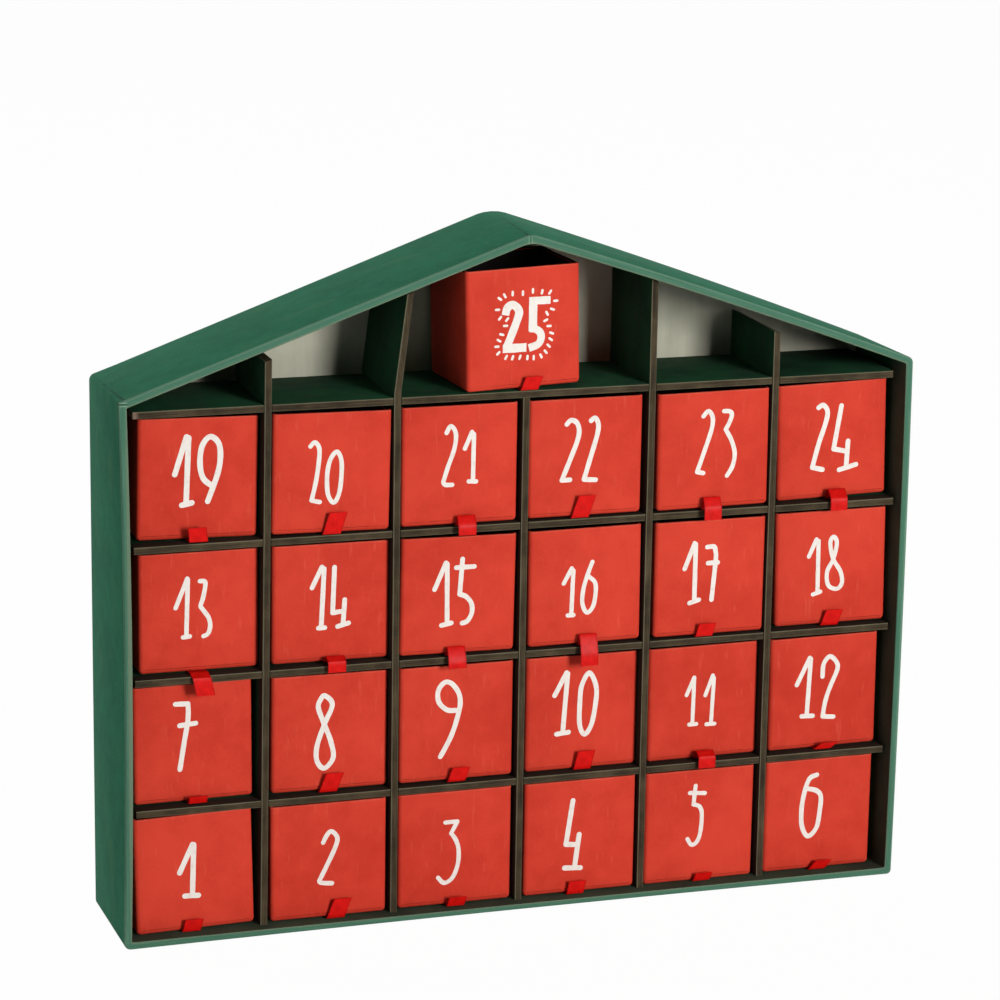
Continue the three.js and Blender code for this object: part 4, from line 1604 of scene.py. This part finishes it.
FIGURES = (
    Figure(2.1, one(((-5.3, 23.7), (-0.2, 34.9)), ((0.3, 34.7), (-0.3, 14.6)), ((-3.3, 14.1), (2.1, 13.9)))),
    Figure(1.85, (
        Stroke((
            (-1.6, 31.0), (-0.1, 33.9), (1.75, 35.3), (4.0, 32.8), (3.6, 29.5), (1.0, 23.6), (-3.1, 15.4),
        )),
        Stroke(((-3.1, 15.4), (-2.3, 14.5), (2.0, 13.9))),
    )),
    Figure(1.75, (
        Stroke(((-4.0, 34.4), (0.9, 34.4))),
        Stroke(((0.9, 34.4), (-1.6, 29.7))),
        Stroke((
            (-1.6, 29.7), (0.5, 26.5), (1.6, 22.1), (1.2, 16.1), (-1.0, 11.0), (-4.3, 9.3), (-6.8, 11.7),
        )),
    )),
    Figure(2.1, (
        Stroke(((-2.9, 38.7), (-5.5, 20.6))),
        Stroke(((-5.5, 20.6), (-0.7, 20.1))),
        Stroke(((0.0, 24.3), (-1.6, 11.3))),
        Stroke(((-5.9, 10.7), (0.8, 10.2))),
    )),
    Figure(1.75, (
        Stroke(((-2.0, 39.9), (-2.7, 32.1))),
        Stroke((
            (-2.7, 32.1), (-0.1, 31.0), (1.0, 27.6), (0.6, 20.2), (-0.8, 16.1), (-3.1, 15.0), (-4.9, 17.6),
        )),
        Stroke(((-4.4, 37.1), (2.1, 36.5))),
    )),
    Figure(2.0, (
        Stroke((
            (-1.0, 39.9), (-4.0, 38.7), (-5.8, 34.3), (-7.1, 26.9), (-6.8, 18.7), (-4.0, 13.9),
            (-0.3, 17.3), (0.9, 24.7), (1.1, 30.6), (-1.0, 33.2), (-4.7, 34.3),
        )),
    )),
    Figure(1.95, (
        Stroke(((-7.1, 39.5), (-2.2, 39.3))),
        Stroke(((-2.2, 39.3), (-2.2, 33.2), (-3.7, 24.3), (-5.5, 13.2))),
        Stroke(((-5.5, 30.8), (0.8, 31.3))),
    )),
    Figure(2.0, (
        Stroke((
            (-1.7, 38.5), (1.2, 34.7), (-2.0, 26.9), (-4.9, 18.4), (-4.9, 12.4), (-2.0, 9.1),
            (1.6, 13.2), (0.6, 19.9), (-2.0, 26.9), (-4.4, 33.9), (-3.4, 37.3),
        ), True),
    )),
    Figure(2.0, (
        Stroke((
            (-0.3, 28.6), (-4.0, 29.1), (-7.3, 32.4), (-7.7, 36.9), (-5.4, 40.2), (-2.5, 39.9),
            (0.5, 36.1), (1.4, 31.7), (0.5, 26.5), (-2.1, 18.4), (-6.5, 10.1),
        )),
    )),
    Figure(2.0, (
        *one(((-11.4, 30.8), (-6.6, 39.9)), ((-6.1, 39.5), (-7.7, 15.8)), ((-10.3, 14.8), (-5.3, 15.2))),
        Stroke((
            (3.0, 39.1), (6.0, 32.8), (5.6, 24.7), (4.1, 17.3), (1.4, 13.8), (-0.7, 18.0), (-0.8, 27.6),
            (-0.1, 34.3),
        ), True),
    )),
    Figure(1.65, (
        *one(((-6.8, 26.5), (-3.8, 33.6)), ((-3.7, 33.6), (-4.0, 15.0)), ((-5.4, 14.1), (-2.3, 14.1))),
        *one(((1.2, 25.8), (4.2, 33.9)), ((4.7, 32.8), (4.0, 14.3)), ((2.0, 13.6), (5.5, 13.6))),
    )),
    Figure(1.9, (
        *one(((-11.7, 27.0), (-6.5, 38.0)), ((-6.0, 37.6), (-6.9, 14.3)), ((-9.1, 13.6), (-4.3, 13.4))),
        Stroke((
            (-0.6, 29.7), (-0.3, 35.0), (2.3, 38.0), (5.3, 35.4), (5.7, 32.1), (2.7, 24.7), (0.9, 18.7),
            (0.1, 12.8),
        )),
        Stroke(((0.1, 12.8), (4.8, 12.3))),
    )),
    Figure(1.75, (
        *one(((-9.1, 25.6), (-4.5, 36.9)), ((-4.3, 36.5), (-5.0, 14.7)), ((-6.3, 13.9), (-3.7, 14.1))),
        Stroke((
            (0.4, 35.6), (2.3, 35.3), (2.4, 33.2), (1.5, 28.7), (0.6, 25.8), (1.5, 24.3), (3.7, 21.0),
            (4.3, 17.6), (3.4, 14.7), (1.7, 13.8),
        )),
    )),
    Figure(1.9, (
        *one(((-7.3, 30.0), (-3.4, 38.0)), ((-2.5, 37.3), (-3.6, 14.3)), ((-4.7, 13.8), (-2.2, 13.8))),
        Stroke(((1.6, 37.6), (0.9, 19.5))),
        Stroke(((0.9, 19.5), (5.1, 19.9))),
        Stroke(((5.7, 24.4), (5.1, 15.0))),
        Stroke(((2.9, 13.9), (7.3, 15.0))),
    )),
    Figure(1.9, (
        *one(((-9.7, 26.5), (-5.2, 36.9)), ((-4.7, 36.5), (-4.5, 13.2)), ((-6.8, 11.9), (-2.8, 12.6))),
        Stroke(((1.5, 38.0), (0.5, 23.9))),
        Stroke(((0.5, 23.9), (3.1, 22.8), (5.3, 19.9), (5.5, 16.1), (3.8, 13.0), (1.6, 12.2))),
        Stroke(((-1.0, 34.7), (6.3, 34.7))),
    )),
    Figure(1.75, (
        *one(((-8.7, 25.2), (-5.5, 31.1)), ((-4.8, 30.2), (-5.3, 12.8)), ((-6.8, 12.1), (-4.4, 12.1))),
        Stroke((
            (3.0, 33.2), (1.2, 28.4), (-0.5, 22.4), (-0.8, 16.5), (1.2, 12.7), (3.6, 15.0), (4.6, 20.2),
            (4.3, 24.7), (1.7, 27.3),
        )),
    )),
    Figure(1.9, (
        *one(((-10.3, 27.8), (-6.4, 38.0)), ((-5.9, 37.6), (-5.9, 15.0)), ((-7.9, 13.6), (-4.0, 14.7))),
        Stroke(((-1.0, 36.1), (1.8, 36.1), (2.5, 34.3), (2.7, 30.6), (1.4, 14.4))),
        Stroke(((-0.5, 29.5), (3.6, 29.5))),
    )),
    Figure(1.75, (
        *one(((-9.0, 28.4), (-6.0, 35.4)), ((-5.1, 34.7), (-4.8, 14.3)), ((-6.7, 12.6), (-3.6, 13.6))),
        Stroke((
            (1.2, 36.1), (2.7, 33.6), (1.4, 26.9), (-1.0, 21.7), (-0.3, 16.1), (3.4, 14.4), (5.5, 16.9),
            (4.6, 21.7), (1.4, 26.9), (-0.1, 33.6),
        ), True),
    )),
    Figure(2.15, (
        *one(((-9.4, 25.6), (-4.8, 39.9)), ((-4.0, 39.5), (-5.1, 14.7)), ((-6.8, 13.6), (-2.9, 14.3))),
        Stroke((
            (4.9, 20.4), (1.5, 23.6), (0.3, 29.5), (1.2, 36.1), (4.3, 39.5), (7.5, 36.9), (8.2, 31.7),
            (7.1, 25.0), (3.2, 14.5),
        )),
    )),
    Figure(1.75, (
        Stroke(((-8.6, 34.3), (-6.8, 35.8), (-5.1, 33.2), (-5.3, 28.0), (-6.4, 20.6), (-8.1, 13.2))),
        Stroke(((-8.1, 13.2), (-4.9, 12.4))),
        Stroke((
            (1.8, 31.7), (3.6, 28.0), (3.5, 20.6), (2.5, 14.7), (0.5, 11.9), (-1.7, 15.4), (-2.0, 22.8),
            (-0.8, 28.7),
        ), True),
    )),
    Figure(1.75, (
        Stroke(((-5.3, 36.5), (-3.6, 39.1), (-1.6, 36.1), (-2.1, 30.2), (-4.7, 22.8), (-6.4, 17.3))),
        Stroke(((-6.4, 17.3), (-5.6, 16.1), (-2.8, 15.9))),
        *one(((2.1, 29.9), (4.9, 36.3)), ((5.7, 35.4), (5.5, 17.3)), ((3.8, 16.9), (6.8, 16.7))),
    )),
    Figure(1.95, (
        Stroke((
            (-8.0, 37.1), (-6.3, 38.6), (-4.0, 37.6), (-2.9, 34.3), (-3.7, 29.9), (-6.6, 22.4), (-9.6, 14.9),
        )),
        Stroke(((-9.6, 14.9), (-6.3, 14.9))),
        Stroke(((1.9, 38.0), (3.6, 39.0), (4.9, 36.5), (4.5, 32.1), (1.5, 21.7), (-0.5, 14.7))),
        Stroke(((-0.5, 14.7), (4.3, 14.3))),
    )),
    Figure(1.8, (
        Stroke(((-4.4, 37.3), (-2.3, 39.3), (-0.5, 36.5), (-0.8, 32.1), (-3.1, 24.7), (-6.4, 15.0))),
        Stroke(((-6.4, 15.0), (-3.8, 14.4))),
        Stroke(((4.2, 38.9), (6.6, 38.7), (7.5, 37.3), (6.6, 34.3), (5.1, 31.5))),
        Stroke(((5.1, 31.5), (7.7, 26.9), (9.2, 21.7), (8.4, 16.5), (6.2, 12.8))),
    )),
    Figure(2.0, (
        Stroke(((-6.0, 37.1), (-4.0, 38.0), (-2.1, 35.4), (-2.8, 30.6), (-5.4, 22.4), (-7.8, 12.8))),
        Stroke(((-7.8, 12.8), (-3.4, 11.7))),
        Stroke(((3.8, 37.4), (1.1, 19.9))),
        Stroke(((1.1, 19.9), (6.4, 18.7))),
        Stroke(((7.2, 22.8), (6.8, 12.4))),
        Stroke(((3.8, 11.2), (11.0, 13.0))),
    )),
    Figure(3.2, (
        square(3.2, (-7.6, 29.3), (-6.9, 32.0), (-4.7, 33.2), (-2.3, 31.2), (-2.5, 28.0), (-6.8, 17.0)),
        square(3.4, (-8.5, 16.3), (1.2, 16.3)),
        square(3.0, (2.0, 34.3), (10.8, 34.3)),
        square(3.4, (3.7, 35.8), (3.7, 22.4)),
        square(3.0, (2.6, 23.6), (4.6, 23.3), (6.6, 22.0), (7.2, 19.8), (6.0, 17.3), (2.2, 16.0)),
    )),
)

# The dashes round the top drawer's number: across, up, and the way each points, in degrees from level
SUN_DASHES = (
    (-10.0, 35.8, -35), (-8.0, 36.9, -60), (-4.8, 37.6, 90), (-0.6, 37.5, 90), (3.5, 38.2, 90),
    (7.3, 37.6, 80), (10.6, 37.3, 55), (13.0, 33.8, 0), (11.7, 30.6, -20), (9.5, 29.1, -60),
    (9.0, 26.4, 25), (10.4, 24.1, 0), (11.5, 21.3, -20), (11.2, 18.9, -35), (10.4, 16.4, -45),
    (9.2, 14.1, -50), (7.3, 12.6, -65), (4.3, 12.1, 90), (1.7, 12.3, 85), (-1.4, 12.6, 70),
    (-4.4, 12.6, 70), (-7.1, 12.9, 60), (-10.3, 14.7, 45), (-10.9, 17.3, 0), (-10.1, 19.6, -30),
    (-9.0, 21.9, -15), (-7.5, 25.2, 0), (-6.9, 27.6, 50), (-9.8, 28.3, 50), (-10.9, 31.6, 0),
)


@dataclass
class PaintedNumbers:
    """The numbers 1 to 25, painted with a brush on the drawers' fronts."""

    bank: DrawerBank
    paint: bpy.types.Material
    lift: float = 0.08
    lift_per_stroke: float = 0.012
    sink: float = 0.06
    curve_steps: int = 6
    end_turns: tuple[float, ...] = (78.0, 52.0, 26.0)
    wobble: float = 0.03
    wobble_rate: float = 0.9
    dash_length: float = 2.2
    dash_width: float = 0.95

    def _stations(self, path: Sequence[Vector], width: float, flat_ended: bool) -> list[Station]:
        """The places, directions and half widths along a stroke.

        Args:
            path: The stroke's middle line.
            width: The brush's width.
            flat_ended: Whether it ends square, or else round.

        Returns:
            One entry for each place.
        """
        half = width / 2
        before, after = [path[0], *path[:-1]], [*path[1:], path[-1]]
        ways = [(later - earlier).normalized() for earlier, later in zip(before, after)]
        turns = [] if flat_ended else [math.radians(turn) for turn in self.end_turns]
        start = [(path[0] - ways[0] * half * math.sin(t), ways[0], half * math.cos(t)) for t in turns]
        turns.reverse()
        end = [(path[-1] + ways[-1] * half * math.sin(t), ways[-1], half * math.cos(t)) for t in turns]
        run, body = 0.0, []
        for earlier, point, way in zip(before, path, ways):
            run += (point - earlier).length
            body.append((point, way, half * (1 + self.wobble * math.sin(run * self.wobble_rate + path[0].x))))
        return start + body + end

    def _paint_stroke(
        self, mesh: BMesh, path: Sequence[Vector], width: float, lift: float, flat_ended: bool = False
    ) -> None:
        """Lays one stroke on a drawer's front.

        Args:
            mesh: The mesh to add to.
            path: The stroke's middle line.
            width: The brush's width.
            lift: How far it stands off the paper at its start.
            flat_ended: Whether it ends square, or else round.
        """
        stations = self._stations(path, width, flat_ended)
        last = len(stations) - 1
        made = bmesh.ops.create_grid(mesh, x_segments=1, y_segments=last, size=0.5)
        for vert in made["verts"]:
            station = round((vert.co.y + 0.5) * last)
            point, way, half = stations[station]
            side = Vector((-way.y, way.x)) * half * (2 * vert.co.x)
            height = lift + self.lift_per_stroke * station / last
            vert.co = (point.x + side.x, -height, point.y + side.y)
        for vert in grow(mesh, {face for vert in made["verts"] for face in vert.link_faces}):
            vert.co.y = self.sink

    def _figure(self, number: int) -> BMesh:
        """One number's mesh about its drawer's origin."""
        figure = FIGURES[number - 1]
        mesh = bmesh.new()
        for order, stroke in enumerate(figure.strokes):
            path = smooth_path([Vector(point) for point in stroke.points], stroke.closed, self.curve_steps)
            lift = self.lift + order * self.lift_per_stroke
            self._paint_stroke(mesh, path, stroke.width or figure.width, lift, stroke.flat_ended)
        return mesh

    def _dashes(self) -> BMesh:
        """The dashes round the top drawer's number."""
        mesh = bmesh.new()
        reach = (self.dash_length - self.dash_width) / 2
        for across, up, turn in SUN_DASHES:
            end = Vector((math.cos(math.radians(turn)), math.sin(math.radians(turn)))) * reach
            middle = Vector((across, up))
            self._paint_stroke(mesh, [middle - end, middle + end], self.dash_width, self.lift)
        return mesh

    def build(self) -> None:
        """Paints all the drawers."""
        top = len(FIGURES)
        meshes = [(f"number_{number:02d}", number, self._figure(number)) for number in range(1, top + 1)]
        for name, number, mesh in [*meshes, ("number_dashes", top, self._dashes())]:
            mount = Mount(name, f"drawer_{number:02d}", "number_paint", (self.paint,))
            mount.place(mesh, self.bank.place_of(number))


# ---------------------------------------------------------------- the studio


def way_at(azimuth: float, elevation: float) -> Vector:
    """The direction at an angle from the front, to the right, and at an angle from level, in degrees."""
    around, up = math.radians(azimuth), math.radians(elevation)
    return Vector((math.sin(around) * math.cos(up), -math.cos(around) * math.cos(up), math.sin(up)))


@dataclass(frozen=True)
class PhotoCamera:
    """The photograph's view: angles in degrees, with the lens and the sensor's width in millimetres."""

    azimuth: float = -18.166
    elevation: float = 14.116
    roll: float = 0.901
    distance: float = 1420.1
    target: Triple = (-3.107, -1.0, 162.345)
    lens: float = 130.37
    sensor: float = 36.0
    sees_to: float = 20000.0

    def build(self) -> None:
        """Sets up the scene's camera."""
        roll = math.radians(self.roll)
        toward = way_at(self.azimuth, self.elevation)
        level = Vector((0, 0, 1)).cross(toward).normalized()
        above = toward.cross(level)
        across = level * math.cos(roll) + above * math.sin(roll)
        upward = above * math.cos(roll) - level * math.sin(roll)
        data = bpy.data.cameras.new("photo_camera")
        data.lens = self.lens
        data.sensor_width = self.sensor
        data.clip_end = self.sees_to * MM
        camera = stand("photo_camera", data)
        turn = Matrix((across, upward, toward)).transposed().to_4x4()
        camera.matrix_world = Matrix.Translation((Vector(self.target) + toward * self.distance) * MM) @ turn
        bpy.context.scene.camera = camera


@dataclass(frozen=True)
class SoftLamp:
    """A lamp: its place round the calendar in degrees, its size in metres and its power in watts."""

    name: str
    azimuth: float
    elevation: float
    distance: float
    width: float
    height: float
    power: float

    def build(self, aim: Vector) -> None:
        """Sets up the lamp.

        Args:
            aim: What it points at, in metres.
        """
        away = way_at(self.azimuth, self.elevation)
        data = bpy.data.lights.new(self.name, "AREA")
        data.shape = "RECTANGLE"
        data.size = self.width
        data.size_y = self.height
        data.energy = self.power
        lamp = stand(self.name, data)
        turn = away.to_track_quat("Z", "Y").to_matrix().to_4x4()
        lamp.matrix_world = Matrix.Translation(aim + away * self.distance) @ turn
        log.info("lamp %s", self.name)


@dataclass
class Studio:
    """White floor and surroundings, with soft lamps. Sizes are in metres."""

    floor_size: float = 8.0
    floor_drop: float = 0.0002
    floor_paper: Colour = (0.9, 0.9, 0.9, 1.0)
    ambient: float = 0.02
    shadow_share: float = 0.02
    aim: Triple = (0.0, 0.0, 0.13)
    lamps: tuple[SoftLamp, ...] = (
        SoftLamp("key", 19.5, 13, 2.2, 0.5, 0.8, 40),
        SoftLamp("low_left", -48, 10, 2.2, 0.4, 0.4, 1.2),
        SoftLamp("rear_left", -135, 40, 2.2, 0.6, 0.6, 14),
        SoftLamp("rear", 180, 55, 2.2, 0.8, 0.6, 9),
    )

    def _seen(self, sheet: NodeSheet) -> Wire:
        """1 for the rays that show the surroundings: straight, in gloss or through glass."""
        kinds = ("Is Camera Ray", "Is Glossy Ray", "Is Transmission Ray")
        straight, gloss, glass = (sheet.node("ShaderNodeLightPath", output=kind) for kind in kinds)
        return straight.larger(gloss).larger(glass)

    def _light(self, sheet: NodeSheet, kind: str, strength: float = 1.0) -> Wire:
        """A white glowing shader."""
        return sheet.node(kind, {}, {"Color": WHITE, "Strength": strength})

    def _floor(self) -> None:
        """The floor, which is white where it is seen and still takes the calendar's shadow."""
        material, sheet = new_sheet("studio_floor")
        paper = sheet.node("ShaderNodeBsdfDiffuse", {}, {"Color": self.floor_paper})
        glow = self._light(sheet, "ShaderNodeEmission")
        share = self._seen(sheet) * (1 - self.shadow_share)
        sheet.finish_with(sheet.node("ShaderNodeMixShader", {}, {0: share, 1: paper, 2: glow}))
        mesh = bmesh.new()
        bmesh.ops.create_grid(mesh, x_segments=1, y_segments=1, size=self.floor_size / 2)
        bmesh.ops.translate(mesh, verts=mesh.verts, vec=(0, 0, -self.floor_drop))
        stand_mesh("studio_floor", mesh, (material,))

    def _world(self) -> None:
        """Even light from all round, behind a white background."""
        world = bpy.data.worlds.new("studio_world")
        world.use_nodes = True
        bpy.context.scene.world = world
        sheet = NodeSheet(world.node_tree)
        light = self._light(sheet, "ShaderNodeBackground", self.ambient)
        white = self._light(sheet, "ShaderNodeBackground")
        mixed = sheet.node("ShaderNodeMixShader", {}, {0: self._seen(sheet), 1: light, 2: white})
        sheet.finish_with(mixed, "ShaderNodeOutputWorld")

    def build(self) -> None:
        """Sets up the floor, the surroundings and the lamps."""
        self._floor()
        self._world()
        for lamp in self.lamps:
            lamp.build(Vector(self.aim))


def main() -> None:
    """Builds and dresses the calendar, then the studio round it."""
    logging.basicConfig(level=logging.INFO, format="%(message)s")
    PhotoCamera().build()
    roof = RoofForm()
    case_paper, lining = CasePaper(wall=roof.wall, half_depth=roof.half_depth).make(), BackLining().make()
    turned = GridPaper(
        "turned_paper", deep=ink(46, 54, 42), plain=ink(62, 76, 60), scuffed=ink(84, 70, 56),
        scuffs=(0.6, 0.78), gap_shade_front=None,
    ).make()
    # The trays' insides and rear rims: unpapered board painted near black, as painted shade.
    inside_shade = GridPaper(
        "tray_inside_shade", deep=ink(14, 11, 9), plain=ink(24, 19, 16), scuffed=ink(34, 28, 22), gap_shade_front=None
    ).make()
    raw_across = Greyboard("greyboard_across").make()
    raw_upright = Greyboard("greyboard_upright", grain=Grain.UPRIGHT).make()
    grid_paper = GridPaper().make()
    CaseShell(roof, case_paper, grid_paper, turned).build()
    BackBoard(roof, lining, CasePaper("back_paper", folded_strip=False).make()).build()
    grid = SlottedGrid(roof, grid_paper, raw_across, raw_upright)
    grid.build()
    bank = DrawerBank(grid, DrawerPaper().make(), inside_shade)
    bank.build()
    RibbonPulls(bank, RibbonSatin().make()).build()
    PaintedNumbers(bank, NumberPaint().make()).build()
    Studio().build()
    bpy.context.scene.view_settings.view_transform = "Standard"


if __name__ == "__main__":
    main()
